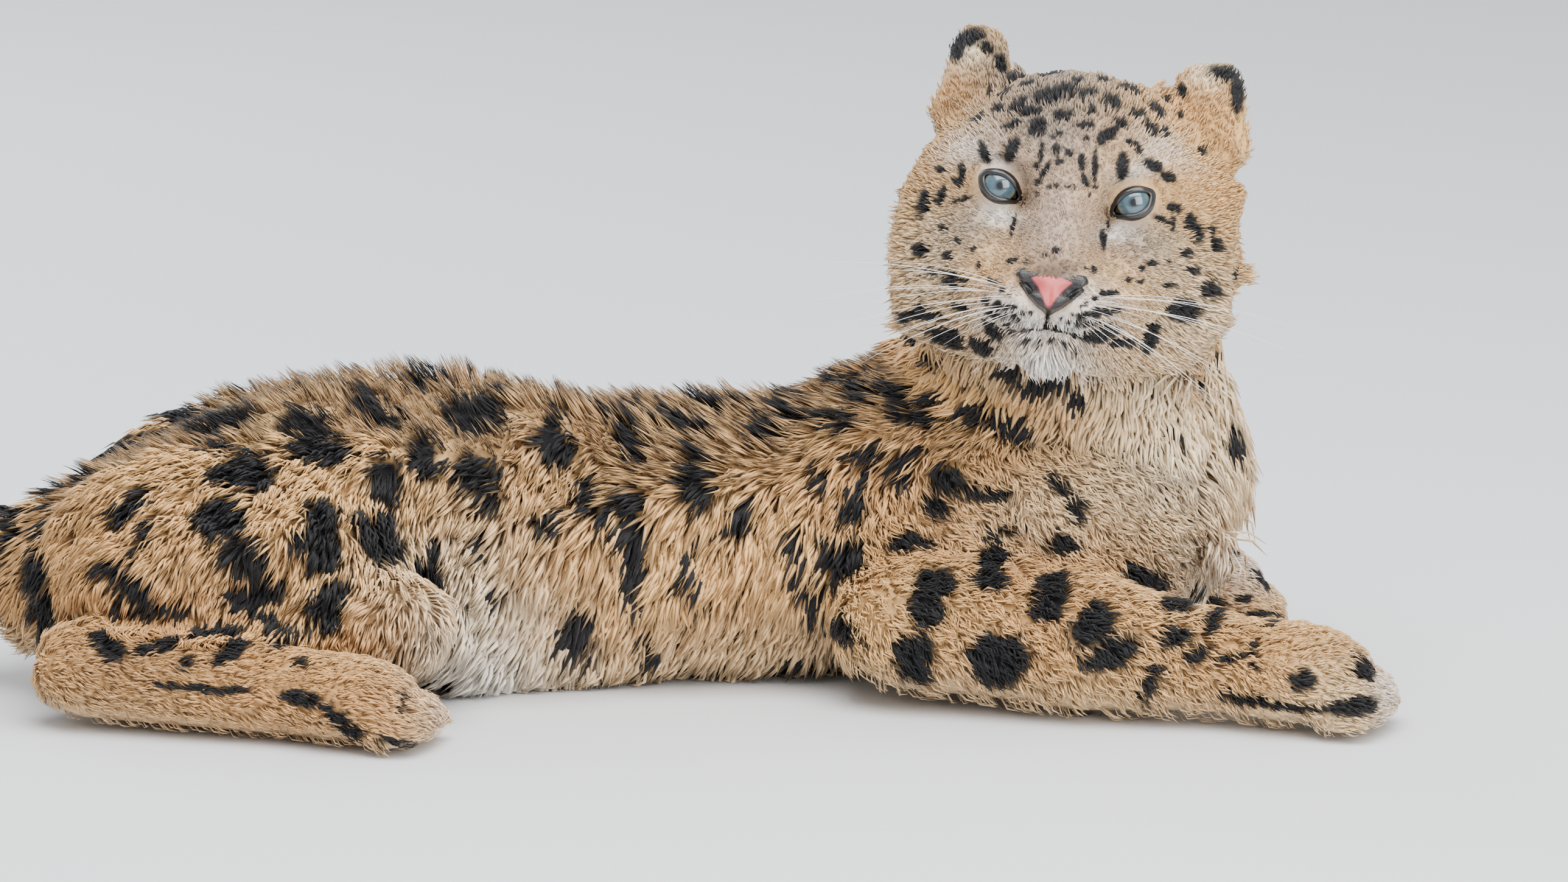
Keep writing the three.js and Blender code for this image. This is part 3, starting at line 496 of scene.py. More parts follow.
skin_mesh = largest(united(largest(body_mesh), largest(head_mesh)))
STRAY_FROM, STRAY_LOW, STRAY_HIGH = 349, 212, 280  # a stray lock of the ruff, in mm
spread = coordinates(skin_mesh)
level = spread @ np.array(VIEW_UP) / MM
stray = (level > STRAY_LOW) * (level < STRAY_HIGH)
spread[:, 0] -= 0.9 * np.maximum(spread[:, 0] - STRAY_FROM * MM, 0) * stray
skin_mesh.vertices.foreach_set("co", spread.astype(np.float32).ravel())
skin_mesh.name = "skin"
skin = placed("skin", skin_mesh)
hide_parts(*NODE_NAMES)
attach(skin, "root")
skin_mesh.polygons.foreach_set("use_smooth", [True] * len(skin_mesh.polygons))

CO, TRIS, EDGES = coordinates(skin_mesh), triangles_of(skin_mesh), edges_of(skin_mesh)
NORMALS = vertex_normals(CO, TRIS)
LABELS = parts_at(CO)
LOCAL = in_head(CO)
SKIN_TREE = BVHTree.FromPolygons([Vector(c) for c in CO], [tuple(t) for t in TRIS.tolist()])
used = np.bincount(EDGES.ravel(), minlength=len(CO))
print("skin", len(CO), "vertices,", len(TRIS), "triangles, loose", int((used == 0).sum()))

# %% [markdown]
# ## Eyes, lids and nose
# A cat's eye is a glossy ball whose clear front bulges. One ball with a slight bulge carries
# the pale iris and the round pupil as rings about the line of sight, so they stay right from
# any side. The lids' bare rims are black and wet, and each is a ring bent onto its ball.

# %% Materials of eyes and nose
def colour(red, green, blue):
    """A colour given as on a screen, 0 to 255, as linear values with alpha."""
    parts = [c / 255 for c in (red, green, blue)]
    return tuple(c / 12.92 if c < 0.04045 else ((c + 0.055) / 1.055) ** 2.4 for c in parts) + (1,)


def new_material(name, roughness, **sockets):
    """A material with one shader, its tree and its shader; sockets are constants on the shader."""
    material = bpy.data.materials.new(name)
    material.use_nodes = True
    tree = material.node_tree
    shader = tree.nodes["Principled BSDF"]
    shader.inputs["Roughness"].default_value = roughness
    for socket, value in sockets.items():
        shader.inputs[socket.replace("_", " ")].default_value = value
    return material, tree, shader


def node(tree, kind, **settings):
    """A node of that kind; settings whose names are inputs set those inputs."""
    made = tree.nodes.new(kind)
    for name, value in settings.items():
        if name in made.inputs:
            made.inputs[name].default_value = value
        else:
            setattr(made, name, value)
    return made


def attribute(tree, name):
    """A node that reads one of the mesh's own attributes."""
    return node(tree, "ShaderNodeAttribute", attribute_name=name)


def ramp(tree, stops):
    """A colour ramp with these (place, colour) stops."""
    made = tree.nodes.new("ShaderNodeValToRGB")
    band = made.color_ramp
    while len(band.elements) < len(stops):
        band.elements.new(0.5)
    for element, (place, value) in zip(band.elements, stops):
        element.position = place
        element.color = value
    return made


eye_material, tree, shader = new_material("iris_and_pupil", 0.16, Coat_Weight=1.0,
                                          Coat_Roughness=0.03)
rings = attribute(tree, "sight")
fibres = node(tree, "ShaderNodeTexNoise", Scale=9.0, Detail=3.0)
around = attribute(tree, "fibre")
tree.links.new(around.outputs["Vector"], fibres.inputs["Vector"])
bands = ramp(tree, [
    (0.0, colour(6, 7, 9)), (0.085, colour(6, 7, 9)), (0.115, colour(44, 62, 72)),
    (0.2, colour(72, 98, 110)), (0.36, colour(66, 92, 104)), (0.47, colour(98, 112, 112)),
    (0.515, colour(88, 88, 66)), (0.545, colour(14, 12, 10)),
])
tree.links.new(rings.outputs["Fac"], bands.inputs["Fac"])
tint = node(tree, "ShaderNodeMix", data_type="RGBA", blend_type="MULTIPLY")
tint.inputs["Factor"].default_value = 0.55
streak = ramp(tree, [(0.32, colour(135, 150, 155)), (0.66, colour(255, 255, 255))])
tree.links.new(fibres.outputs["Fac"], streak.inputs["Fac"])
tree.links.new(bands.outputs["Color"], tint.inputs[6])
tree.links.new(streak.outputs["Color"], tint.inputs[7])
tree.links.new(tint.outputs[2], shader.inputs["Base Color"])
print("iris rings", len(bands.color_ramp.elements))

# %% Eyeballs
def finished(name, bm, material, node_names=()):
    """The bmesh as a finished piece that rides on the animal."""
    bmesh.ops.recalc_face_normals(bm, faces=bm.faces)
    mesh = bpy.data.meshes.new(name)
    bm.to_mesh(mesh)
    bm.free()
    mesh.polygons.foreach_set("use_smooth", [True] * len(mesh.polygons))
    mesh.materials.append(material)
    piece = placed(name, mesh)
    if node_names:
        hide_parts(*node_names)
    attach(piece, "root")
    return piece


def point_values(mesh, name, kind, values):
    """Keeps values at the mesh's vertices as an attribute."""
    made = mesh.attributes.new(name, kind, "POINT")
    field = {"FLOAT": "value", "FLOAT_VECTOR": "vector", "FLOAT_COLOR": "color"}[kind]
    made.data.foreach_set(field, np.ascontiguousarray(values, np.float32).ravel())


for name, (middle, radius, side, up) in EYE_FRAMES.items():
    bm = bmesh.new()
    bmesh.ops.create_uvsphere(bm, u_segments=64, v_segments=48, radius=1)
    sight, fibre = [], []
    for v in bm.verts:
        angle = math.acos(max(-1, min(1, v.co.z)))
        flat = max(math.hypot(v.co.x, v.co.y), 1e-9)
        sight.append(angle / math.radians(70))
        fibre.append((v.co.x / flat * 2.2, v.co.y / flat * 2.2, angle * 0.7))
        bulge = radius * (1 + 0.05 * math.exp(-(angle / 0.55) ** 4))
        place = side * v.co.x + up * v.co.y + GAZE * v.co.z
        v.co = Vector(middle + place * bulge)
    ball = finished("ball_of_" + name, bm, eye_material, [name])
    point_values(ball.data, "sight", "FLOAT", sight)
    point_values(ball.data, "fibre", "FLOAT_VECTOR", fibre)
    print(ball.name, "made,", len(ball.data.polygons), "faces")

# %% Rims of the lids
rim_material, tree, shader = new_material("wet_black_skin", 0.3, Coat_Weight=0.5)
crinkle = node(tree, "ShaderNodeTexNoise", Scale=900.0, Detail=4.0)
coords = node(tree, "ShaderNodeTexCoord")
tree.links.new(coords.outputs["Object"], crinkle.inputs["Vector"])
shade = ramp(tree, [(0.3, colour(12, 11, 12)), (0.8, colour(38, 34, 34))])
tree.links.new(crinkle.outputs["Fac"], shade.inputs["Fac"])
tree.links.new(shade.outputs["Color"], shader.inputs["Base Color"])
relief = node(tree, "ShaderNodeBump", Strength=0.3, Distance=0.0005)
tree.links.new(crinkle.outputs["Fac"], relief.inputs["Height"])
tree.links.new(relief.outputs["Normal"], shader.inputs["Normal"])

RIM = 1.9 * MM
for name, (middle, radius, side, up) in EYE_FRAMES.items():
    bm = bmesh.new()
    on_edge = Matrix.Translation((1, 0, 0)) @ Matrix.Rotation(math.pi / 2, 4, "X")
    bmesh.ops.create_circle(bm, segments=10, radius=RIM, matrix=on_edge)
    bmesh.ops.spin(bm, geom=bm.edges[:], cent=(0, 0, 0), axis=(0, 0, 1), angle=2 * math.pi,
                   steps=72, use_merge=True)
    bmesh.ops.remove_doubles(bm, verts=bm.verts, dist=1e-7)
    for v in bm.verts:
        angle = math.atan2(v.co.y, v.co.x)
        out = (math.hypot(v.co.x, v.co.y) - 1) * 1.25
        reach = float(almond(np.array(angle), EYE_INNER[name])) + out
        depth = math.sqrt(max((radius * 1.02 + 0.5 * MM) ** 2 - reach ** 2, 0)) + v.co.z
        place = side * math.cos(angle) * reach + up * math.sin(angle) * reach + GAZE * depth
        v.co = Vector(middle + place)
    rim = finished("rim_of_" + name, bm, rim_material)
    print(rim.name, "reach", round(float(almond(np.array(0.0), EYE_INNER[name])) / MM, 1), "mm")

# %% Nose pad
nose_mesh = with_modifier(joined_copy(["nose"], 0.4 * MM), "REMESH", mode="VOXEL",
                          voxel_size=0.8 * MM)
points = relaxed(coordinates(nose_mesh), edges_of(nose_mesh), 10, 0.5)
spot = in_head(points)
NOSE_MIDDLE = float((spot[:, 0].min() + spot[:, 0].max()) / 2)
spot[:, 0] = NOSE_MIDDLE + (spot[:, 0] - NOSE_MIDDLE) * 1.07
spot[:, 1] -= 3
top, low = float(spot[:, 1].max()), float(spot[:, 1].min())
spot = pushed(spot, [
    ((NOSE_MIDDLE + 11.5, top - 11, spot[:, 2].max() - 3), (5.5, 3.6, 9), (0, 0, -4)),
    ((NOSE_MIDDLE - 11.5, top - 11, spot[:, 2].max() - 3), (5.5, 3.6, 9), (0, 0, -4)),
    ((NOSE_MIDDLE, low + 6, spot[:, 2].max()), (1.6, 9, 9), (0, 0, -1.5)),
    ((NOSE_MIDDLE, top - 8, spot[:, 2].max()), (8, 7, 9), (0, 0, 2)),
])
nose_mesh.vertices.foreach_set("co", from_head(spot).ravel())
down = np.clip((top - spot[:, 1]) / (top - low), 0, 1)
half = np.interp(down, [0, 0.12, 0.2, 0.4, 0.6, 0.8, 1], [0, 6, 12.5, 7.5, 4.0, 1.5, 0])
pink = np.clip((half - np.abs(spot[:, 0] - NOSE_MIDDLE)) / 1.6 + 0.5, 0, 1)
pink *= np.clip((0.86 - down) / 0.1, 0, 1)
nose_material, tree, shader = new_material("nose_leather", 0.38, Coat_Weight=0.25,
                                           Subsurface_Weight=0.12)
shader.inputs["Subsurface Radius"].default_value = (0.004, 0.0015, 0.001)
pebbles = node(tree, "ShaderNodeTexVoronoi", Scale=1300.0)
coords = node(tree, "ShaderNodeTexCoord")
tree.links.new(coords.outputs["Object"], pebbles.inputs["Vector"])
shade = ramp(tree, [(0.0, colour(20, 18, 20)), (0.45, colour(110, 44, 46)),
                    (1.0, colour(196, 84, 84))])
tree.links.new(attribute(tree, "pink").outputs["Fac"], shade.inputs["Fac"])
tree.links.new(shade.outputs["Color"], shader.inputs["Base Color"])
relief = node(tree, "ShaderNodeBump", Strength=0.35, Distance=0.0006)
tree.links.new(pebbles.outputs["Distance"], relief.inputs["Height"])
tree.links.new(relief.outputs["Normal"], shader.inputs["Normal"])
nose_mesh.materials.append(nose_material)
nose_mesh.polygons.foreach_set("use_smooth", [True] * len(nose_mesh.polygons))
nose = placed("nose_pad", nose_mesh)
point_values(nose_mesh, "pink", "FLOAT", pink)
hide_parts("nose")
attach(nose, "root")
print("nose pad", round(top - low, 1), "mm high,", len(nose_mesh.polygons), "faces")

# %% [markdown]
# ## Markings
# The coat of a snow leopard is pale straw with large black blotches on the flanks, smaller
# spots on legs and face, and a whitish belly and chin. Each marking is a soft-edged oval that
# lies on the skin: its place, half its length and width in millimetres and its turn in degrees.
# Places are measured on the plane that the camera sees, and a ray finds the skin behind them.
# Skin and tufts read the same list, so they carry the same markings. Ovals of the same kind paint
# shade into the paws' toe gaps and creases, and a shadow below the far paw.

# %% Lists of spots
HAUNCH_SPOTS = (  # rump, thigh, hock and hind foot
    (-225, 147, 11.7, 14.9, 80), (-213, 130, 19.1, 8.9, -5), (-276, 115, 8.5, 7.4, 0),
    (-259, 117, 14.9, 12.7, 20), (-190, 162, 10.6, 8.5, 0), (-178, 150, 13.2, 6.4, -10),
    (-152, 173, 9.6, 8.9, 0), (-123, 154, 18.7, 13.2, -20), (-152, 127, 8.1, 15.3, 10),
    (-175, 113, 9.6, 13.2, 10), (-122, 118, 13.2, 12.7, 0), (-114, 100, 4.7, 8.9, 8),
    (-215, 90, 9.6, 10.6, 0), (-214, 69, 10.6, 12.7, -10), (-226, 76, 8.9, 5.1, 0),
    (-180, 78, 12.7, 16.1, 20), (-150, 62, 8.9, 15.9, -8), (-274, 88, 14.9, 13.2, 20),
    # The thin rows (-247, 29), (-318, 35), (-280, 18), (-312, 11), (-269, 7), (-237, 10), (-297, 1)
    # and (-226, 1) also stand among the paws' rows: painted shade in the gaps between the toes.
    (-262, 66, 12.3, 10.6, 0), (-255, 46, 17.4, 8.9, 10), (-247, 29, 12.7, 5.1, -30),
    (-210, 37, 9.6, 15.9, -30), (-318, 35, 23.8, 4.0, -3), (-280, 18, 13.2, 3.4, 12),
    (-312, 11, 10.6, 3.0, 14), (-269, 7, 13.2, 4.2, 28), (-237, 10, 8.5, 3.2, 22),
    (-297, 1, 4.2, 2.3, 20), (-226, 1, 3.8, 2.3, 0), (-384, 54, 8.5, 9.6, 0),
    (-379, 32, 8.5, 12.7, 0), (-384, 20, 6.4, 4.2, 20), (-337, 52, 12.7, 5.1, -20),
    (-326, 48, 10.6, 6.4, -30), (-324, 75, 12.7, 2.5, 60), (-337, 129, 13.2, 3.8, 20),
    (-324, 148, 8.5, 4.2, 0), (-299, 152, 11.0, 7.6, 0), (-269, 150, 13.2, 5.3, 10),
    (-286, 142, 17.0, 4.2, 8), (-335, 143, 8.5, 3.0, 10), (-360, 109, 8.5, 5.5, 0),
    (-337, 90, 4.7, 8.1, 10), (-325, 98, 6.4, 6.4, 0), (-390, 126, 7.4, 6.4, 0),
    (-373, 134, 6.4, 4.2, 0), (-402, 111, 4.7, 4.2, 0), (-402, 79, 5.3, 4.2, 0),
    (-354, 128, 8.5, 3.0, 20), (-314, 137, 10.6, 2.5, 10), (-278, 130, 10.6, 2.1, 5),
    (-118, 71, 2.1, 17.0, 4), (-110, 47, 1.7, 8.5, 4), (-158, -47, 10.6, 2.1, 10),
    (-205, -29, 10.6, 3.0, -30), (-346, 13, 10.6, 4.2, -25), (-225, -19, 12.7, 3.4, -12),
    (-135, -31, 8.5, 3.8, 40),
)
FLANK_SPOTS = (  # flank, and the back up to the shoulder
    (-74, 134, 10.9, 13.5, 0), (-72, 151, 5.0, 6.6, 0), (-51, 101, 7.6, 13.9, 18),
    (-44, 88, 4.0, 8.3, 10), (-26, 136, 6.9, 18.5, 16), (-24, 85, 7.3, 18.2, 10),
    (-22, 58, 6.9, 18.2, 6), (14, 114, 8.9, 15.9, -6), (14, 99, 8.3, 6.6, 0),
    (7, 143, 3.0, 9.6, 40), (-3, 151, 2.6, 4.0, 30), (56, 139, 8.3, 8.6, 10),
    (49, 137, 4.3, 3.3, 0), (-77, 83, 8.3, 6.3, 0), (-55, 25, 8.6, 17.2, 8), (15, 57, 3.3, 20.6, 0),
    (44, 88, 6.6, 8.3, 0), (96, 111, 3.3, 9.9, 20), (114, 98, 7.3, 9.9, 0), (109, 65, 11.6, 9.6, 0),
    (94, 74, 5.8, 4.0, -10), (89, 42, 4.6, 8.6, 25), (107, 26, 6.6, 5.6, -20),
    (114, 18, 5.0, 3.3, 0), (78, 7, 7.3, 2.6, 10), (93, -2, 11.6, 2.3, -6), (21, -2, 18.2, 5.0, 35),
    (5, -10, 9.9, 4.0, 40), (-12, 17, 4.0, 10.9, -10), (127, 128, 6.6, 5.9, 0),
    (117, 123, 4.0, 3.0, 0), (116, 165, 7.6, 5.0, 0), (141, 160, 8.3, 8.9, 0),
    (137, 167, 5.0, 4.3, 0), (111, 147, 5.0, 5.6, 0), (87, 149, 3.3, 4.0, 0),
    (68, 157, 5.9, 3.6, 30), (71, 151, 3.6, 5.6, 0), (101, 172, 6.6, 3.6, 0),
    (78, 68, 2.0, 9.9, 10), (83, 58, 3.0, 6.6, 20), (145, 121, 3.6, 5.6, 0), (146, 76, 5.0, 4.6, 0),
    (5, 165, 3.0, 7.6, 20), (12, 161, 5.0, 2.6, 0), (26, 157, 9.9, 2.3, -10),
    (40, 156, 5.0, 2.0, 0), (-55, 177, 9.9, 3.3, -6), (145, 10, 4.0, 9.9, 0),
)
SHOULDER_SPOTS = (  # shoulder, forelegs, paws and chest
    (116, 164, 7.2, 5.8, 0), (139, 157, 6.3, 9.6, 0), (153, 151, 6.3, 5.3, 0),
    (165, 157, 4.3, 5.8, 0), (159, 147, 5.8, 3.9, 0), (105, 145, 4.3, 9.1, -20),
    (132, 130, 5.3, 3.4, 20), (126, 117, 3.4, 8.7, 0), (117, 97, 7.2, 9.6, 0),
    (151, 127, 5.3, 4.3, 0), (147, 110, 4.3, 5.3, 0), (173, 114, 10.6, 6.7, -10),
    (167, 99, 7.2, 8.2, 10), (201, 108, 14.9, 4.3, -5), (192, 152, 9.6, 5.8, -10),
    (212, 145, 15.9, 7.2, -24), (242, 111, 9.6, 2.9, -40), (253, 97, 3.9, 8.2, 10),
    (151, 76, 13.5, 6.7, 5), (208, 84, 12.5, 2.6, 20), (245, 76, 10.1, 5.3, 0),
    (201, 65, 9.1, 9.6, 0), (197, 51, 8.7, 8.2, 0), (112, 65, 12.0, 10.6, 0), (93, 74, 5.3, 3.4, 0),
    (164, 50, 13.0, 9.1, 10), (160, 34, 12.0, 9.6, 0), (237, 46, 10.6, 10.6, 0),
    (234, 34, 9.6, 6.7, 10), (291, 55, 15.4, 6.7, 0), (319, 53, 8.2, 2.6, -22),
    (262, 25, 9.1, 14.9, -40), (275, 9, 17.3, 7.7, 22), (314, 36, 10.6, 7.2, 15),
    (337, 40, 7.7, 2.6, -10), (336, 26, 9.6, 3.9, 50), (313, 17, 8.7, 5.3, 0),
    (327, 8, 7.7, 4.3, 40), (205, 6, 18.3, 13.0, 5), (153, 5, 10.6, 14.4, -6),
    (111, 22, 9.1, 5.3, -40), (90, 41, 5.3, 7.2, 10), (125, 14, 2.9, 1.9, 0),
    (298, -9, 3.9, 10.6, -20), (372, 50, 9.1, 3.6, 25), (354, 41, 5.8, 2.4, 10),
    (349, 171, 11.1, 5.8, 20), (348, 164, 7.2, 3.4, 0), (343, 137, 13.5, 7.2, 15),
    (353, 144, 5.8, 5.3, 0), (386, 37, 3.9, 2.4, 0), (230, 172, 17.3, 4.3, -4),
    (253, 164, 5.8, 6.3, -30), (189, 173, 7.2, 2.2, -6), (165, 185, 6.7, 3.4, -20),
    (306, 141, 3.4, 1.7, 0), (361, 87, 3.9, 2.4, 0), (341, 4, 4.8, 2.2, 40),
    (386, 46, 4.8, 2.2, 20), (355, -18, 14.4, 2.4, -8), (391, -9, 6.3, 5.3, 0),
    (427, -4, 6.3, 3.4, -30), (423, -26, 14.4, 3.4, 10),
)
FACE_SPOTS = (  # forehead, eye line and cheeks
    (230, 318, 1.4, 6.0, -4), (233, 307, 1.3, 5.5, -28), (239, 319, 1.9, 2.9, 0),
    (245, 318, 1.0, 1.9, 0), (248, 317, 1.0, 1.9, 0), (241, 312, 1.7, 1.8, 0),
    (227, 309, 1.3, 1.6, 0), (228, 299, 1.8, 1.4, 0), (255, 311, 1.9, 4.5, 0),
    (263, 309, 1.4, 8.0, -3), (257, 300, 1.8, 3.4, 25), (263, 296, 1.0, 1.0, 0),
    (235, 296, 1.6, 0.9, 20), (240, 297, 1.2, 1.2, 0), (250, 296, 0.8, 1.0, 0),
    (228, 292, 1.0, 0.8, 0), (260, 291, 0.8, 0.8, 0), (246, 296, 0.8, 0.8, 0),
    (212, 319, 3.1, 7.3, -22), (195, 317, 2.3, 6.0, 25), (280, 309, 2.9, 8.3, 0),
    (299, 309, 5.5, 2.6, -20), (308, 302, 4.2, 2.1, -20), (286, 323, 4.4, 1.3, -25),
    (290, 319, 1.6, 3.1, 20), (267, 324, 1.8, 1.9, 0), (272, 330, 5.5, 1.8, 20),
    (258, 326, 1.8, 1.0, 0), (181, 305, 1.8, 4.7, 0), (179, 299, 3.1, 2.2, 0),
    (169, 306, 2.9, 1.7, 10), (159, 285, 2.3, 7.0, -12), (169, 291, 1.8, 5.7, -20),
    (178, 263, 1.3, 3.1, 30), (170, 270, 1.8, 1.6, 0), (157, 257, 4.4, 3.6, 0),
    (173, 253, 2.3, 2.1, 0), (188, 257, 1.2, 1.6, 0), (191, 247, 1.3, 1.6, 0),
    (213, 272, 0.9, 6.5, -12), (268, 263, 1.6, 5.7, 4), (271, 272, 1.0, 3.9, 0),
    (322, 274, 3.1, 4.5, 0), (326, 267, 2.2, 5.2, -8), (335, 268, 1.7, 3.4, 0),
    (337, 261, 2.2, 3.9, 6), (312, 283, 3.9, 2.6, -20), (304, 276, 5.2, 1.2, -22),
    (311, 273, 1.3, 3.6, 0), (181, 288, 4.9, 1.2, 12), (319, 256, 3.1, 1.6, 25),
    (298, 249, 2.9, 1.3, 10), (292, 245, 1.7, 1.3, 0), (308, 250, 1.8, 0.9, 0),
    (291, 237, 1.6, 1.0, 0), (284, 238, 1.4, 1.2, 0), (308, 235, 2.9, 1.2, 0),
    (323, 245, 3.4, 1.7, 0), (345, 244, 3.9, 4.4, 20), (332, 234, 5.7, 4.9, -20),
    (318, 220, 9.3, 4.7, -5), (297, 208, 2.9, 6.5, -10), (233, 254, 1.3, 1.0, 0),
    (239, 257, 1.8, 1.8, 0), (165, 244, 4.7, 1.0, -24), (176, 237, 7.8, 1.3, -22),
    (181, 223, 7.8, 1.3, -12), (162, 219, 7.8, 1.6, -8), (176, 207, 10.4, 3.9, -12),
    (158, 222, 3.9, 1.8, 0),
)
MUZZLE_SPOTS = (  # rows that carry the whiskers, and the mouth corners
    (199, 238, 1.0, 1.0, 0), (202, 236, 1.4, 1.2, 0), (206, 232, 1.3, 1.0, 0),
    (210, 229, 0.9, 0.6, 0), (197, 225, 2.3, 1.3, -30), (204, 223, 1.8, 1.6, 0),
    (207, 222, 1.6, 1.2, 0), (212, 222, 2.3, 1.0, -6), (202, 218, 5.7, 1.2, -8),
    (213, 217, 1.3, 1.0, 0), (218, 218, 0.8, 0.6, 0), (209, 213, 1.0, 0.8, 0),
    (216, 214, 0.8, 0.6, 0), (223, 218, 0.8, 0.6, 0), (202, 210, 6.0, 5.5, 0),
    (197, 215, 2.1, 1.8, 0), (268, 230, 1.8, 1.6, 0), (272, 230, 1.6, 1.3, 0),
    (276, 231, 1.2, 1.0, 0), (263, 227, 1.0, 0.9, 0), (256, 223, 1.6, 0.6, 0),
    (254, 216, 1.6, 1.2, 0), (258, 217, 1.8, 1.4, 0), (264, 218, 2.6, 2.1, 0),
    (270, 219, 1.7, 1.4, 0), (276, 220, 3.1, 1.0, 15), (247, 213, 1.0, 0.8, 0),
    (252, 212, 0.8, 0.6, 0), (260, 212, 4.2, 1.0, 5), (268, 211, 2.9, 1.0, 0),
    (242, 215, 0.8, 0.6, 0), (267, 206, 8.3, 3.4, 12), (249, 217, 0.6, 0.5, 0),
    (211, 250, 1.3, 1.2, 0), (215, 251, 0.8, 0.8, 0), (262, 245, 1.3, 1.3, 0),
    (257, 246, 0.5, 0.8, 0), (221, 250, 0.5, 1.0, 0),
)
CROWN_SPOTS = (  # top of the head
    (215, 361, 6.4, 2.3, 0), (222, 357, 4.5, 1.7, 0), (237, 362, 6.4, 3.0, 0),
    (209, 352, 4.9, 1.7, 15), (235, 351, 7.9, 3.4, 0), (245, 354, 4.5, 3.4, 0),
    (217, 346, 6.4, 2.3, 30), (204, 343, 3.8, 2.3, 10), (224, 342, 5.7, 1.9, 8),
    (212, 334, 6.0, 1.7, 18), (228, 332, 4.2, 4.9, -30), (257, 334, 4.9, 1.7, 0),
    (258, 352, 5.3, 3.0, 0), (273, 347, 4.9, 3.8, -10), (283, 354, 5.7, 1.9, -12),
    (288, 341, 3.8, 1.9, 0), (300, 342, 6.4, 2.6, -25), (305, 349, 3.4, 2.3, 0),
    (297, 332, 4.9, 2.6, -50), (279, 335, 4.2, 1.9, -20), (271, 328, 5.3, 2.6, 15),
    (243, 340, 4.9, 2.6, 0), (242, 329, 1.5, 1.1, 0), (237, 327, 1.5, 1.1, 0),
    (258, 326, 1.9, 1.1, 0), (305, 329, 1.9, 2.3, 0), (315, 339, 1.9, 1.5, 0),
    (261, 343, 1.9, 1.5, 0), (268, 359, 3.8, 2.3, 0), (329, 318, 3.0, 1.9, 0),
    (192, 338, 4.5, 2.3, 10), (253, 359, 2.6, 1.5, 0), (198, 354, 1.5, 1.9, 0),
)
EAR_RIMS = (  # dark rims of the ears' backs
    (183, 386, 10.5, 4.2, 22), (173, 377, 3.0, 9.0, -14), (204, 371, 2.4, 6, 14),
    (196, 382, 4, 2, -40), (344, 365, 8.6, 3.8, -10), (351, 354, 3.4, 11, -4),
    (317, 355, 2.4, 3.8, 0), (178, 380, 3.8, 5.7, 0),
)
RUFF_SPOTS = (  # jaw, throat and ruff
    (175, 206, 13.2, 4.2, -12), (194, 200, 7.6, 4.2, -10), (166, 186, 8.3, 4.2, -8),
    (158, 196, 7.6, 3.0, 0), (163, 218, 17.0, 1.9, -8), (316, 221, 10.6, 5.7, -5),
    (295, 204, 3.8, 9.8, -8), (279, 202, 9.4, 2.3, 0), (333, 233, 6.4, 4.2, -15),
    (330, 194, 7.6, 1.9, 20), (177, 241, 11.3, 1.5, -22), (149, 218, 7.6, 2.6, 10),
    (347, 168, 11.3, 6.4, 20), (344, 174, 5.7, 2.6, 0),
    (209, 183, 5.7, 5.7, -20), (234, 174, 15.1, 4.5, -3), (252, 166, 5.7, 5.7, -30),
    (322, 174, 1.9, 1.9, 0),
)
MOUTH_LINES = (  # line below the nose, and the lips from it to both corners
    (233.7, 214, 0.9, 5.0, 0), (226.2, 208, 8, 0.9, 11), (213, 206, 6.5, 1.1, 4),
    (204.5, 208.4, 4.2, 1.2, -45), (239.4, 208.6, 6, 0.9, -9), (252.6, 205.2, 8.2, 1.0, -18),
    (266.8, 205.2, 7.2, 1.1, 20), (222, 201, 2.4, 1.0, 0), (229, 199, 1.8, 1.0, 0),
    (236, 200, 2.4, 1.0, 0), (244, 199, 2.4, 1.0, 0), (250, 197, 1.8, 0.9, 0),
)
PAW_SHADE_AND_MARKS = (  # painted shade in the gaps between the toes and in creases, a painted shadow below the far paw, and small marks of the three paws in view
    (428, 1, 9.5, 2.0, -49), (420, -23, 15, 3.4, 8), (385, -24, 26, 2.4, -6),
    (393, -5, 4.5, 4.5, 0), (372, 24.3, 3.4, 1.6, 0), (362, 12, 3.4, 3, 60), (345, 5, 6, 2.6, 0),
    (358, 6.4, 8, 1.2, 4), (363, 0, 5, 1.2, -20), (370, 49.5, 9.5, 2.8, 31),
    (340, 64.5, 10, 1.2, 54), (366, 32, 17, 1.4, -8), (388, 37.5, 2.6, 2.6, 0),
    (-318, 35, 21, 3.2, -4), (-278, 18, 14, 4, 6), (-268, 8.6, 14.8, 3.2, 28),
    (-238, 10, 9.5, 3.4, 12), (-247, 28, 14, 4.2, -35), (-215, 20, 18, 1.5, 4),
    (-318, 10, 11, 3.2, 12), (-297, 1, 6, 2.8, 10), (-226, 0, 3, 2, 0), (-344, 10, 10, 7, -30),
    (-285, -13, 34, 2.2, -5), (-226, -20, 11, 3.6, -15), (-164, -23, 1.8, 7, 0),
    (-140, -33, 1.8, 8, 0), (-194, -38, 11, 2.6, -12), (-168, -45, 12, 2, -12),
)
print("spots on the near side", sum(len(s) for s in (
    HAUNCH_SPOTS, FLANK_SPOTS, SHOULDER_SPOTS, FACE_SPOTS, MUZZLE_SPOTS, CROWN_SPOTS,
    EAR_RIMS, RUFF_SPOTS, MOUTH_LINES, PAW_SHADE_AND_MARKS)))

# %% From the list to the skin
RIGHT, UP, BACK = (np.array(v) for v in (VIEW_RIGHT, VIEW_UP, VIEW_BACK))


def seen_at(across, high):
    """The place on the skin that the camera sees at these millimetres, or None."""
    target = VIEW_RIGHT * across * MM + VIEW_UP * high * MM
    ahead = (target - camera.location).normalized()
    hit, _, _, _ = SKIN_TREE.ray_cast(camera.location, ahead)
    return np.array(hit) if hit is not None else None


def oval(centre, along, across, out, long, wide, deep):
    """A marking as its centre and three axes, each divided by how far it reaches."""
    return centre, np.array([along / long, across / wide, out / deep]), max(long, wide, deep)


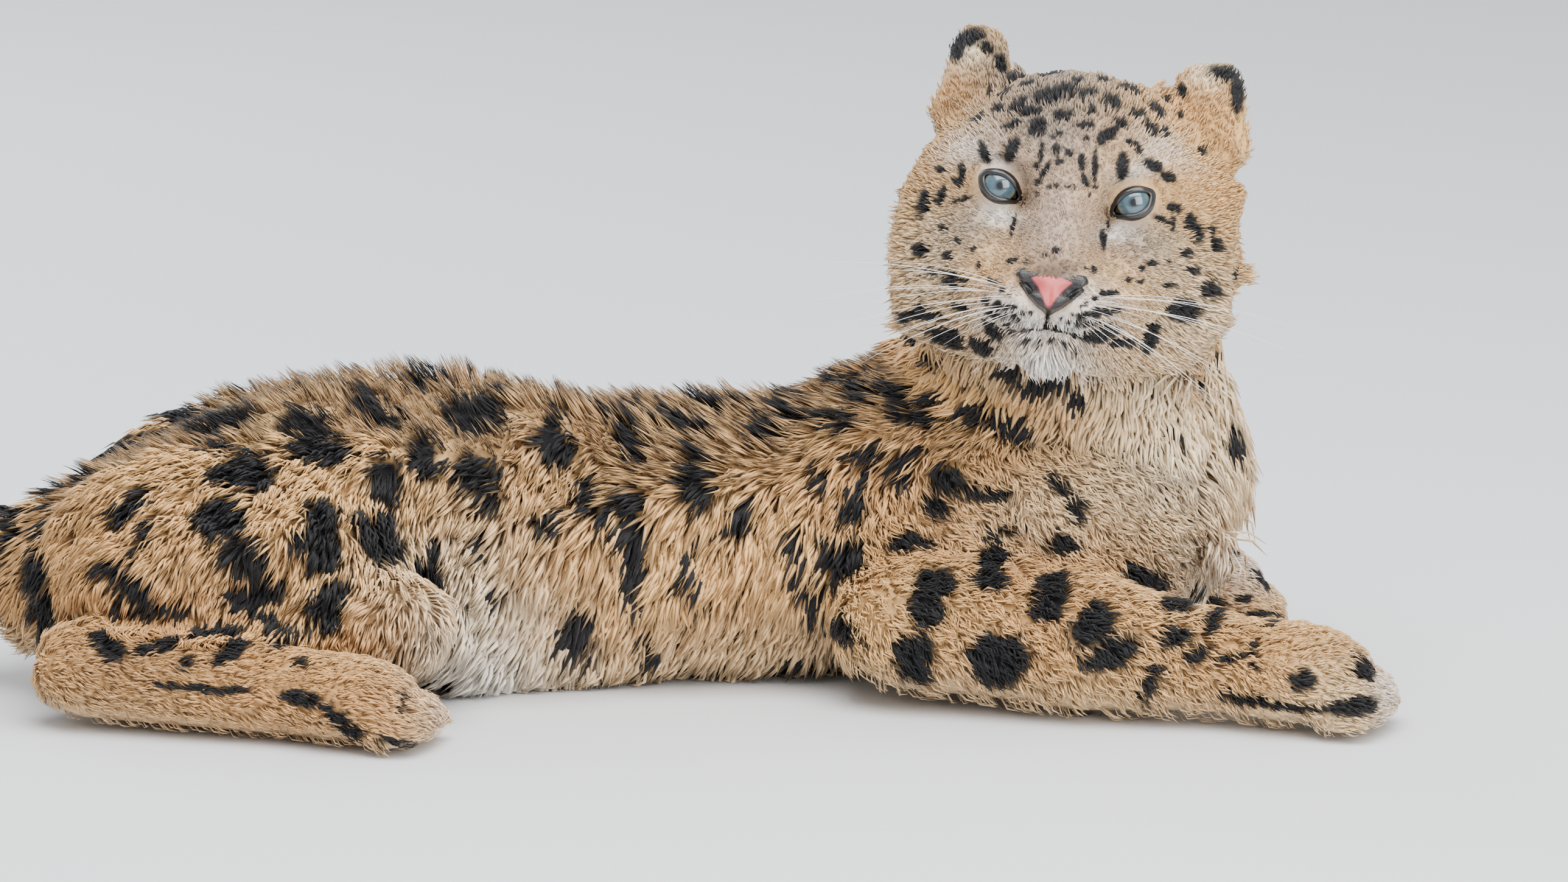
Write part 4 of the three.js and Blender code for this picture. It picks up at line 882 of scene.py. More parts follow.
def near_marks(rows, deep=1.7, grown=1.13):
    """Ovals for rows of the near side: flat to the view, and as deep as they are long."""
    marks = []
    for across, high, long, wide, turn in rows:
        centre = seen_at(across, high)
        if centre is None:
            continue
        c, s = math.cos(math.radians(turn)), math.sin(math.radians(turn))
        reach = (max(long, wide) * deep + 5) * MM
        marks.append(oval(centre, RIGHT * c + UP * s, UP * c - RIGHT * s, BACK,
                          (long * grown + 0.4) * MM, (wide * grown + 0.4) * MM, reach))
    return marks


def on_skin(place, along, long, wide):
    """An oval that lies on the skin nearest to a place, its length turned along a direction."""
    hit, normal, _, _ = SKIN_TREE.find_nearest(Vector(place))
    normal = np.array(normal)
    along = along - normal * (along @ normal)
    along /= max(np.linalg.norm(along), 1e-9)
    return oval(np.array(hit), along, np.cross(normal, along), normal,
                long * MM, wide * MM, (max(long, wide) * 1.2 + 4) * MM)


def far_marks(rows, seed):
    """The far side's spots: those of the near side across the spine, moved and resized a bit."""
    chance = np.random.default_rng(seed)
    marks = []
    for across, high, long, wide, turn in rows:
        centre = seen_at(across, high)
        if centre is None:
            continue
        moved = chance.normal(0, 7 * MM, 3)
        place = centre * (1, -1, 1) + moved * (1, 0.2, 1)
        turned = math.radians(turn + chance.normal(0, 14))
        along = np.array([math.cos(turned), 0, math.sin(turned)])
        grown = chance.uniform(0.82, 1.15)
        marks.append(on_skin(place, along, long * grown, wide * grown))
    return marks


BODY_ROWS = HAUNCH_SPOTS + FLANK_SPOTS + SHOULDER_SPOTS[:32]
body_marks = near_marks(HAUNCH_SPOTS + FLANK_SPOTS + SHOULDER_SPOTS + RUFF_SPOTS)
# painted shade in the paws' toe gaps and creases and a painted shadow below the far paw, black like
# the spots
body_marks += near_marks(PAW_SHADE_AND_MARKS, 2.0, 1.0)
head_marks = near_marks(FACE_SPOTS + CROWN_SPOTS, 1.2, 1.28)
head_marks += near_marks(MOUTH_LINES, 1.2, 1.1)
head_marks += near_marks(MUZZLE_SPOTS, 1.2, 1.6)
ear_marks = near_marks(EAR_RIMS, 1.6, 1.3)
far_side = far_marks([r for r in BODY_ROWS if min(r[2], r[3]) > 3.2], 5)
print(len(body_marks), "on the body,", len(head_marks), "on the head,", len(far_side), "far")

# %% Spots of the back, nape, far legs and tail
TAIL = [Vector(p) * MM for p in (
    (-372, -50, 92), (-440, -54, 76), (-520, -48, 50), (-602, -22, 32), (-676, 34, 29),
    (-722, 116, 28), (-728, 208, 28), (-694, 292, 27), (-626, 346, 25), (-548, 362, 22))]
chance = np.random.default_rng(8)
back_marks = []
for column in range(16):
    for row in (-1, 0, 1):
        x = (-395 + 34 * column + 17 * (row % 2)) * MM + chance.normal(0, 4 * MM)
        y = row * 30 * MM + chance.normal(0, 4 * MM)
        hit, _, _, _ = SKIN_TREE.ray_cast(Vector((x, y, 0.6)), Vector((0, 0, -1)))
        if hit is not None:
            along = np.array([1, chance.normal(0, 0.3), 0])
            back_marks.append(on_skin(np.array(hit), along, chance.uniform(8, 14),
                                      chance.uniform(4, 7)))
for column in range(5):
    for row in range(-2, 3):
        x, y = 0.19 + 0.036 * column, 0.028 * row + chance.normal(0, 3 * MM)
        back_marks.append(on_skin(np.array([x, y + 0.03, 0.36 - 0.03 * abs(row)]),
                                  np.array([0.3, 0.2, -1]), chance.uniform(6, 11),
                                  chance.uniform(4, 6)))
for column in range(7):
    for row in range(5):
        shifted = (-87 + 27 * column + 13 * (row % 2), 72 - 27 * row)
        place, ahead = from_head([[*shifted, -300], [*shifted, -200]])
        hit, _, _, _ = SKIN_TREE.ray_cast(Vector(place), Vector(ahead - place))
        if hit is not None:
            back_marks.append(on_skin(np.array(hit), np.array([0.3, 0.3, -1]),
                                      chance.uniform(5, 9), chance.uniform(3.5, 5.5)))
for index in range(26):
    part = (index + 0.4) / 26 * (len(TAIL) - 1)
    first = TAIL[int(part)]
    along = np.array(TAIL[int(part) + 1] - first)
    centre = np.array(first) + along * (part - int(part))
    along /= np.linalg.norm(along)
    beside = np.cross(along, (0, 0, 1))
    for turn in (-75, -25, 30, 80):
        turn = math.radians(turn + chance.normal(0, 8))
        out = beside * math.sin(turn) + np.array([0, 0, 1]) * math.cos(turn)
        back_marks.append(on_skin(centre + out * 0.04, np.cross(along, out),
                                  chance.uniform(9, 15), chance.uniform(5, 8)))
for leg in ("foreleg_left", "forepaw_left", "hindfoot_left"):
    low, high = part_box(leg)
    for index in range(22 if leg == "foreleg_left" else 9):
        place = [chance.uniform(low[k], high[k]) for k in range(3)]
        back_marks.append(on_skin(np.array(place), np.array([1, 0, 0.4]),
                                  chance.uniform(7, 13), chance.uniform(4, 8)))
print(len(back_marks), "spots that the camera doesn't see")

# %% How dark the markings and the painted shade of the paws make a place
def ripple(points, size):
    """A cheap, smooth unevenness of about the size given, from -1 to 1."""
    p = points / (size * MM)
    return (np.sin(p[:, 0] * 2.1 + 1.3 * np.sin(p[:, 2] * 1.7)) * np.sin(p[:, 1] * 2.3 + 0.7)
            + np.sin(p[:, 2] * 2.6 + 1.1 * np.sin(p[:, 0] * 1.9 + 2)) * np.cos(p[:, 1] * 1.6)) / 2


def darkness(points, marks, soft=0.16, uneven=0.2, allowed=None):
    """From 0 outside the markings to 1 inside them, at each place."""
    out = np.zeros(len(points))
    shake = uneven * (ripple(points, 9) + 0.6 * ripple(points + 3, 4))
    for centre, axes, reach in marks:
        near = np.flatnonzero(np.abs(points - centre).max(axis=1) < reach * 1.35)
        if len(near):
            gone = np.sqrt((((points[near] - centre) @ axes.T) ** 2).sum(axis=1)) + shake[near]
            dark = np.clip((1 + soft - gone) / (2 * soft), 0, 1)
            out[near] = np.maximum(out[near], dark * dark * (3 - 2 * dark))
    return out if allowed is None else out * allowed


def all_darkness(points, on_head, facing):
    """Every list of spots and of the paws' painted shade at once; a spot of the near side stays off
    what faces away.
    """
    body = darkness(points, body_marks, allowed=(facing > -0.25) * 1.0)
    face = darkness(points, head_marks, 0.24, 0.1, (facing > -0.1) * on_head)
    ears = darkness(points, ear_marks, 0.3, 0.1, on_head)
    rest = darkness(points, back_marks + far_side, allowed=1 - on_head * (facing > -0.1))
    return np.max([body, face, ears, rest], axis=0)


ON_HEAD = is_part(LABELS, "head", "ear").astype(float)
FACING = NORMALS @ BACK
# darkness of the spots on the skin, with the painted shade and shadow of the paws
SPOT_AND_PAINTED_SHADE = all_darkness(CO, ON_HEAD, FACING)
print("dark share of the skin", round(float(SPOT_AND_PAINTED_SHADE.mean()), 3))

# %% Ground colours of the coat
STRAW, TAN, CREAM = colour(241, 198, 134), colour(212, 158, 100), colour(252, 236, 204)
WHITE, GREY, BROWN = colour(254, 254, 252), colour(136, 130, 126), colour(120, 98, 80)
TAUPE = colour(180, 158, 142)
BLACK = colour(20, 20, 24)
ZONES = (  # across, high, reach across and up, turn, colour, strength, on the head only
    (-112, 20, 50, 78, 0, CREAM, 0.95, False), (-105, -15, 50, 60, 0, WHITE, 0.95, False),
    (-150, 70, 46, 30, 0, CREAM, 0.5, False), (20, 60, 90, 60, 0, STRAW, 0.3, False),
    (306, 130, 62, 66, 20, CREAM, 0.85, False), (320, 190, 60, 40, 0, CREAM, 0.6, False),
    (232, 60, 60, 60, 0, TAN, 0.35, False), (150, 120, 60, 70, 0, TAN, 0.45, False),
    (230, 100, 60, 30, 10, CREAM, 0.4, False), (356, 66, 50, 26, 0, WHITE, 0.55, False),
    (415, -20, 34, 34, 0, CREAM, 0.5, False), (440, -6, 14, 36, 0, WHITE, 0.7, False),
    (-335, 0, 44, 26, 0, BROWN, 0.4, False), (-290, 10, 90, 60, 0, TAN, 0.5, False),
    (-350, 60, 60, 60, 0, TAN, 0.4, False), (-220, -30, 120, 30, 0, TAN, 0.4, False),
    (235, 328, 62, 40, -6, GREY, 0.85, True), (228, 368, 80, 34, -6, GREY, 0.75, True),
    (238, 272, 34, 58, -6, TAUPE, 1.0, True), (239, 244, 20, 10, -6, BROWN, 1.0, True),
    (188, 272, 30, 24, 20, GREY, 0.75, True), (290, 262, 38, 26, -20, GREY, 0.8, True),
    (205, 279, 14, 8, -20, WHITE, 0.8, True), (277, 268, 14, 7, 14, WHITE, 0.6, True),
    (200, 312, 16, 7, -28, WHITE, 0.55, True), (288, 306, 18, 7, 14, WHITE, 0.5, True),
    (183, 318, 20, 12, 30, WHITE, 0.5, True), (305, 318, 26, 10, -30, WHITE, 0.4, True),
    (210, 221, 22, 14, 10, WHITE, 0.75, True), (260, 225, 22, 14, -10, WHITE, 0.7, True),
    (226, 211, 12, 9, 0, WHITE, 0.9, True), (246, 211, 16, 9, 0, WHITE, 0.9, True),
    (232, 187, 34, 22, 0, WHITE, 1.0, True), (236, 208, 9, 5, 0, GREY, 0.5, True),
    (165, 245, 26, 44, 0, CREAM, 0.6, True), (320, 225, 34, 44, 0, CREAM, 0.6, True),
    (184, 378, 12, 15, 0, CREAM, 0.9, True), (331, 366, 16, 16, 0, CREAM, 0.9, True),
    (176, 355, 20, 16, 0, TAN, 0.5, True), (322, 344, 26, 16, 0, TAN, 0.5, True),
)


def ground(points, normals, on_head, facing, labels):
    """The coat's colour without its spots, as linear red, green and blue."""
    out = np.tile(np.array(STRAW[:3]), (len(points), 1))

    def blend(value, amount):
        out[:] += np.clip(amount, 0, 1)[:, None] * (np.array(value[:3]) - out)

    top = np.clip((normals[:, 2] - 0.45) / 0.45, 0, 1) * (1 - on_head)
    trunk = is_part(labels, "rump", "torso", "chest", "neck", "tail").astype(float)
    blend(TAN, 0.35 + 0.25 * ripple(points, 34))
    blend(GREY, 0.3 * top * trunk * (0.7 + 0.3 * ripple(points, 20)))
    low = np.clip((0.06 - points[:, 2]) / 0.06, 0, 1)
    blend(CREAM, 0.6 * low * is_part(labels, "torso", "chest"))
    blend(CREAM, 0.5 * np.clip(-normals[:, 2], 0, 1))
    far = np.clip(-facing * 1.5, 0, 1) * (points[:, 2] < 0.13) * (points[:, 2] > 0.01)
    blend(CREAM, 0.35 * far * (1 - on_head))
    view = points - np.array(camera.location)
    scale = DISTANCE / -(view @ BACK)
    across = ((view @ RIGHT) * scale + MIDDLE_RIGHT) / MM
    high = ((view @ UP) * scale + MIDDLE_UP) / MM
    front = np.clip(0.5 + facing * 2.5, 0, 1)
    for x, h, wide, tall, turn, value, strength, head_only in ZONES:
        c, s = math.cos(math.radians(turn)), math.sin(math.radians(turn))
        u, v = (across - x) * c + (high - h) * s, (high - h) * c - (across - x) * s
        spread = np.exp(-((u / wide) ** 2 + (v / tall) ** 2) * 1.4)
        blend(value, strength * spread * front * (on_head if head_only else 1 - on_head))
    return out


GROUND = ground(CO, NORMALS, ON_HEAD, FACING, LABELS)
print("mean ground colour", GROUND.mean(axis=0).round(2))

# %% [markdown]
# ## The lie, length and stand of the coat
# Hair grows back from the nose, over the neck and down the sides, along each leg to its toes
# and along the tail to its tip. These directions are set for each part, drawn over one another
# where parts meet, and laid flat on the skin. On the wet back and rump the tufts stand up as
# dark-tipped spikes, on the flanks they hang in long locks, and on shoulder and legs they
# curl. The face and paws carry the shortest.

# %% Directions on the skin
def laid_flat(vectors, normals):
    """The vectors without what points out of the skin, at length 1."""
    flat = vectors - normals * (vectors * normals).sum(axis=1, keepdims=True)
    return flat / np.maximum(np.linalg.norm(flat, axis=1, keepdims=True), 1e-9)


LIE = {"rump": (-0.8, 0, -0.55), "torso": (-0.35, 0, -1), "chest": (-0.15, 0, -1),
       "neck": (-0.25, 0, -1), "hindleg": (-0.35, 0, -0.9), "hindfoot": (1, 0, -0.15),
       "foreleg": (0.75, 0, -0.65), "forepaw": (1, 0, -0.25)}
flow = np.zeros_like(CO)
for word, direction in LIE.items():
    flow[is_part(LABELS, word)] = direction
top = np.clip((NORMALS[:, 2] - 0.4) / 0.5, 0, 1)[:, None]
trunk = is_part(LABELS, "rump", "torso", "chest", "neck")[:, None]
flow = np.where(trunk, flow * (1 - top) + np.array([-1, 0, -0.1]) * top, flow)
tail_points = np.array([a.lerp(b, k / 8) for a, b in zip(TAIL, TAIL[1:]) for k in range(8)])
on_tail = np.flatnonzero(is_part(LABELS, "tail"))
nearest = ((CO[on_tail][:, None] - tail_points[None, :-1]) ** 2).sum(axis=2).argmin(axis=1)
flow[on_tail] = (tail_points[nearest + 1] - tail_points[nearest]) * 100
head_turn = np.array(HEAD.to_3x3())
radial = np.c_[LOCAL[:, 0] * 1.1, LOCAL[:, 1] + 52, np.full(len(LOCAL), -26.0)]
radial[:, 1] -= 24 * np.clip(np.abs(LOCAL[:, 0]) / 90, 0, 1)
radial /= np.linalg.norm(radial, axis=1, keepdims=True)
on_face = is_part(LABELS, "head")
flow[on_face] = radial[on_face] @ head_turn.T
on_ear = is_part(LABELS, "ear")
ear_side = np.sign(LOCAL[:, 0])[:, None] * np.array([0.35, 0, 0]) + np.array([0, 1, 0])
flow[on_ear] = ear_side[on_ear] @ head_turn.T
flow = laid_flat(relaxed(laid_flat(flow, NORMALS), EDGES, 24, 0.5), NORMALS)
print("directions at", len(flow), "places")

# %% Length, width and stand at each place of the skin
LENGTH = {"rump": 27, "torso": 33, "chest": 28, "neck": 30, "hindleg": 21, "hindfoot": 11,
          "foreleg": 14, "forepaw": 9, "tail": 25, "head": 9, "ear": 6}
STAND = {"rump": 30, "torso": 17, "chest": 20, "neck": 20, "hindleg": 20, "hindfoot": 16,
         "foreleg": 24, "forepaw": 22, "tail": 20, "head": 20, "ear": 20}
DENSITY = {"rump": 1.0, "torso": 1.0, "chest": 1.1, "neck": 1.2, "hindleg": 1.2,
           "hindfoot": 1.9, "foreleg": 1.7, "forepaw": 2.4, "tail": 1.0, "head": 3.2, "ear": 3.4}
CURL = {"chest": 0.4, "foreleg": 0.7, "hindleg": 0.2, "torso": 0.2, "hindfoot": 0.25}


def field(table, rounds=14):
    """The table's values at the vertices, drawn over one another where parts meet."""
    return relaxed(by_part(LABELS, table), EDGES, rounds, 0.5)


length, stand, density, curl = field(LENGTH), field(STAND), field(DENSITY, 4), field(CURL)
reach = np.hypot(LOCAL[:, 0] / 1.05, (LOCAL[:, 1] + 22) / 1.0)
short = np.clip((reach - 34) / 62, 0, 1)
face_length = 3.4 + 12 * short ** 1.8 * np.clip((30 - LOCAL[:, 1]) / 60, 0.4, 1)
face_length += 4 * np.clip((LOCAL[:, 1] - 30) / 30, 0, 1)
chin = weight(LOCAL, (0, -108, FRONT - 14), (32, 16, 40))
face_length += 10 * chin
length += (face_length - length) * is_part(LABELS, "head") * (LOCAL[:, 2] > -70)
density *= 1 - 0.62 * is_part(LABELS, "head") * np.clip((length - 6) / 14, 0, 1)
spiky = np.clip((NORMALS[:, 2] - 0.25) / 0.45, 0, 1) * is_part(LABELS, "rump", "torso", "chest")
spiky = relaxed(spiky.astype(float), EDGES, 8, 0.5) * np.clip((CO[:, 2] - 0.09) / 0.05, 0, 1)
length -= 9 * spiky
stand += 24 * spiky
white_flank = np.exp(-(((CO[:, 0] + 0.108) / 0.06) ** 2 + ((CO[:, 2] - 0.03) / 0.07) ** 2))
length += 9 * white_flank * is_part(LABELS, "torso", "rump")
under = (NORMALS[:, 2] < -0.55) & (CO[:, 2] < 0.03)
density[under] *= 0.12
on_pad = np.hypot(LOCAL[:, 0] / 17, (LOCAL[:, 1] + 65) / 11) < 1
density[(LOCAL[:, 2] > FRONT - 26) & on_pad] = 0
for middle, radius, side, up in EYE_FRAMES.values():
    gone = CO - middle
    away = np.hypot(gone @ side, gone @ up)
    bare = (away < 0.0155) & (gone @ GAZE > 0)
    density[bare] = 0
inner_ear = on_ear & (NORMALS @ head_turn[:, 0] * np.sign(LOCAL[:, 0]) > 0.2)
density[inner_ear] *= 0.4
print("length from", round(length.min(), 1), "to", round(length.max(), 1), "mm")

# %% [markdown]
# ## One tuft, many times over
# A tuft is a thin closed spike of three sides that bends along the lie of the coat. Wet fur
# gathers in points, so the tips of neighbouring tufts are drawn to the tip of a common lock.
# All tufts of a part are written into one mesh from arrays, which keeps them as plain mesh.

# %% Where the tufts grow
TUFTS = 148000
dice = np.random.default_rng(41)
area = np.linalg.norm(np.cross(CO[TRIS[:, 1]] - CO[TRIS[:, 0]], CO[TRIS[:, 2]] - CO[TRIS[:, 0]]),
                      axis=1) / 2
share = area * density[TRIS].mean(axis=1)
chosen = np.searchsorted(np.cumsum(share) / share.sum(), dice.random(TUFTS))
chosen = np.minimum(chosen, len(TRIS) - 1)
u, v = dice.random(TUFTS), dice.random(TUFTS)
folded = u + v > 1
u[folded], v[folded] = 1 - u[folded], 1 - v[folded]
CORNERS = TRIS[chosen]
BARY = np.c_[1 - u - v, u, v]


def at_roots(values):
    """A value of the skin's vertices at the roots of the tufts."""
    picked = values[CORNERS]
    mix = BARY if values.ndim == 1 else BARY[:, :, None]
    return (picked * mix).sum(axis=1)


root = at_roots(CO)
normal = at_roots(NORMALS)
normal /= np.linalg.norm(normal, axis=1, keepdims=True)
lie = laid_flat(at_roots(flow), normal)
label = LABELS[CORNERS[:, 0]]
on_head = is_part(label, "head", "ear").astype(float)
facing = normal @ BACK
ahead = root + lie * (at_roots(length) * 0.5 * MM)[:, None]
# darkness of the spots at the tufts, with the painted shade and shadow of the paws
spot = all_darkness(ahead, on_head, facing)
ground_at = ground(root, normal, on_head, facing, label)
print(TUFTS, "roots on", round(float(area.sum()), 3), "square metres")

# %% Locks that gather the tufts
count = TUFTS // 12
seeds = dice.choice(TUFTS, count, replace=False)
lock_tree = KDTree(count)
for index, place in enumerate(root[seeds]):
    lock_tree.insert(place, index)
lock_tree.balance()
home = seeds[[lock_tree.find(p)[1] for p in root]]
same_way = (normal * normal[home]).sum(axis=1) > 0.4
home = np.where(same_way, home, np.arange(TUFTS))
print(count, "locks")

# %% The line of each tuft
lie += np.cross(lie, normal) * (0.4 * ripple(root, 13))[:, None] * (1 - 0.6 * on_head)[:, None]
lie = laid_flat(lie, normal)
across = np.cross(lie, normal)
tall = at_roots(length) * MM * dice.uniform(0.72, 1.22, TUFTS)
angle = np.radians(at_roots(stand) + dice.normal(0, 5, TUFTS))
sway = dice.normal(0, 0.16, TUFTS)
curly = at_roots(curl) * dice.choice([-1, 1], TUFTS) * dice.uniform(0.4, 1, TUFTS)
spike = at_roots(spiky)


def line_of(step):
    """Each tuft's middle line at a share of its length: first up, then along the coat."""
    ahead = tall * np.cos(angle) * step
    lifted = tall * (np.sin(angle) * step + 0.16 * np.sin(np.pi * step) * (1 - spike))
    beside = tall * (sway * step + 0.22 * curly * np.sin(2.6 * np.pi * step))
    return (root + lie * ahead[:, None] + normal * (lifted - 1.2 * MM * (step == 0))[:, None]
            + across * beside[:, None])


tip = line_of(1.0)
gather = (0.5 + 0.3 * spike) * dice.uniform(0.6, 1.1, TUFTS)
drawn = (tip[home] - tip) * gather[:, None]
drawn *= np.minimum(1, 0.011 / np.maximum(np.linalg.norm(drawn, axis=1), 1e-9))[:, None]
STEPS = np.array([0.0, 0.5])
WIDTHS = np.array([0.85, 1.0])
wide = (0.26 + 0.036 * tall / MM) * MM * dice.uniform(0.7, 1.3, TUFTS) * (1 - 0.2 * spike)
rings = []
for step, share in zip(STEPS, WIDTHS):
    middle = line_of(step) + drawn * step ** 1.5
    for turn in (90, 210, 330):
        c, s = math.cos(math.radians(turn)), math.sin(math.radians(turn))
        rings.append(middle + (across * c + normal * s * 0.6) * (wide * share)[:, None])
rings.append(tip + drawn)
CORNER_PLACES = np.stack(rings, axis=1)
print("tuft corners", CORNER_PLACES.shape)

# %% Colours along each tuft
tone = np.clip(dice.normal(1, 0.15, TUFTS), 0.5, 1.4)
dark_tip = np.clip(spike * 1.1 + 0.25 * (dice.random(TUFTS) - 0.5), 0, 1)
dark_tip *= dice.random(TUFTS) < 0.08 + 0.8 * np.clip(spike * 1.5 - 0.2, 0, 1)
dark_tip = np.maximum(dark_tip, spot)
# Painted shade and light along each tuft: 0.6 as bright at the root, deep in the coat, rising to
# 1.16 at the tip where the light falls. The head's short fur gets less of both.
ramp_at = np.array([0.0, 0.5, 1.0])
painted_shade_along = np.array([0.6, 0.96, 1.16])
base = ground_at * tone[:, None]
black = np.array(BLACK[:3]) * (0.8 + 0.5 * dice.random(TUFTS))[:, None]
layers = []
for place, light in zip(ramp_at, painted_shade_along):
    hue = base * (light + (1 - light) * 0.6 * on_head)[:, None]
    tipped = dark_tip * np.clip((place - 0.4) / 0.5, 0, 1)
    amount = np.maximum(spot, tipped * 0.94)[:, None]
    layers.append(hue * (1 - amount) + black * amount)
CORNER_COLOURS = np.stack([layers[0]] * 3 + [layers[1]] * 3 + [layers[2]], axis=1)
print("colours", CORNER_COLOURS.shape)

# %% The bake map of a tuft
PATCH = 0.003
TILES = 9


def bake_place(points, normals, labels):
    """Where a root lies on an unwrap of the skin: a tile for each part and for each of six
    sides that its skin faces, and in it the place as seen square on from that side."""
    size = np.abs(normals)
    axis = size.argmax(axis=1)
    toward = np.take_along_axis(normals, axis[:, None], 1)[:, 0] > 0
    tile = (labels * 6 + axis * 2 + toward) % (TILES * TILES)
    first, second = np.array([1, 0, 0])[axis], np.array([2, 2, 1])[axis]
    out = np.zeros((len(points), 2))
    for part in np.unique(labels):
        here = labels == part
        low, high = points[here].min(axis=0), points[here].max(axis=0)
        share = (points[here] - low) / max((high - low).max(), 1e-6)
        rows = np.arange(here.sum())
        out[here] = np.c_[share[rows, first[here]], share[rows, second[here]]]
    room = (1 / TILES) - 0.008
    return np.c_[(tile % TILES) / TILES, (tile // TILES) / TILES] + 0.002 + out * room


bake = bake_place(root, normal, label)
print("bake places from", bake.min().round(3), "to", bake.max().round(3))

# %% Material of the coat
def grain_group():
    """Streaks along a strand, as a mask that lightens and darkens it and as a height."""
    group = bpy.data.node_groups.new("hair_grain", "ShaderNodeTree")
    group.interface.new_socket("Place", in_out="INPUT", socket_type="NodeSocketVector")
    group.interface.new_socket("Fineness", in_out="INPUT", socket_type="NodeSocketFloat")
    group.interface.new_socket("Colour", in_out="INPUT", socket_type="NodeSocketColor")
    group.interface.new_socket("Colour", in_out="OUTPUT", socket_type="NodeSocketColor")
    group.interface.new_socket("Height", in_out="OUTPUT", socket_type="NodeSocketFloat")
    start, end = group.nodes.new("NodeGroupInput"), group.nodes.new("NodeGroupOutput")
    streaks = node(group, "ShaderNodeTexNoise", Detail=3.0, Roughness=0.6)
    light = ramp(group, [(0.28, colour(204, 196, 188)), (0.72, colour(255, 255, 255))])
    mix = node(group, "ShaderNodeMix", data_type="RGBA", blend_type="MULTIPLY")
    mix.inputs["Factor"].default_value = 0.75
    for one, other in (
        (start.outputs["Place"], streaks.inputs["Vector"]),
        (start.outputs["Fineness"], streaks.inputs["Scale"]),
        (streaks.outputs["Fac"], light.inputs["Fac"]),
        (start.outputs["Colour"], mix.inputs[6]),
        (light.outputs["Color"], mix.inputs[7]),
        (mix.outputs[2], end.inputs["Colour"]),
        (streaks.outputs["Fac"], end.inputs["Height"]),
    ):
        group.links.new(one, other)
    return group


GRAIN = grain_group()


def fur_material(name, fineness, roughness, distance):
    """Hair: the markings' colour with the painted shade that it carries, streaked along the
    strands, with a dull, soft sheen.
    """
    material, tree, shader = new_material(name, roughness, Specular_IOR_Level=0.25,
                                          Sheen_Weight=0.08, Sheen_Roughness=0.5)
    grain = node(tree, "ShaderNodeGroup")
    grain.node_tree = GRAIN
    grain.inputs["Fineness"].default_value = fineness
    tree.links.new(attribute(tree, "strand").outputs["Vector"], grain.inputs["Place"])
    tree.links.new(attribute(tree, "markings").outputs["Color"], grain.inputs["Colour"])
    tree.links.new(grain.outputs["Colour"], shader.inputs["Base Color"])
    relief = node(tree, "ShaderNodeBump", Strength=0.6, Distance=distance)
    tree.links.new(grain.outputs["Height"], relief.inputs["Height"])
    tree.links.new(relief.outputs["Normal"], shader.inputs["Normal"])
    return material


tuft_material = fur_material("tufts", 1.0, 0.62, 0.0006)
skin_material = fur_material("underfur", 1.0, 0.75, 0.0012)
# the skin between the tufts gets the coat's colour at 0.92 as painted shade under the coat
point_values(skin_mesh, "markings", "FLOAT_COLOR", np.c_[
    (GROUND * (1 - SPOT_AND_PAINTED_SHADE[:, None]) + np.array(BLACK[:3]) * SPOT_AND_PAINTED_SHADE[:, None]) * 0.92,
    np.ones(len(CO))])
point_values(skin_mesh, "strand", "FLOAT_VECTOR", CO * 420)
skin_mesh.materials.clear()
skin_mesh.materials.append(skin_material)
print("materials of the coat made")

# %% The pieces of the coat
SIDES = np.array(
    [(0, 2, 1)]
    + [(a, b, b + 3) for a, b in ((0, 1), (1, 2), (2, 0))]
    + [(a, b + 3, a + 3) for a, b in ((0, 1), (1, 2), (2, 0))]
    + [(3 + a, 3 + b, 6) for a, b in ((0, 1), (1, 2), (2, 0))])
ONE = CORNER_PLACES[0]
shape = ONE[SIDES]
volume = (shape[:, 0] * np.cross(shape[:, 1], shape[:, 2])).sum()
volume -= (ONE.mean(axis=0) * np.cross(shape[:, 1] - shape[:, 0],
                                       shape[:, 2] - shape[:, 0])).sum()
if volume < 0:
    SIDES = SIDES[:, ::-1]
PER_TUFT = len(SIDES)
MOST = 195000 // PER_TUFT


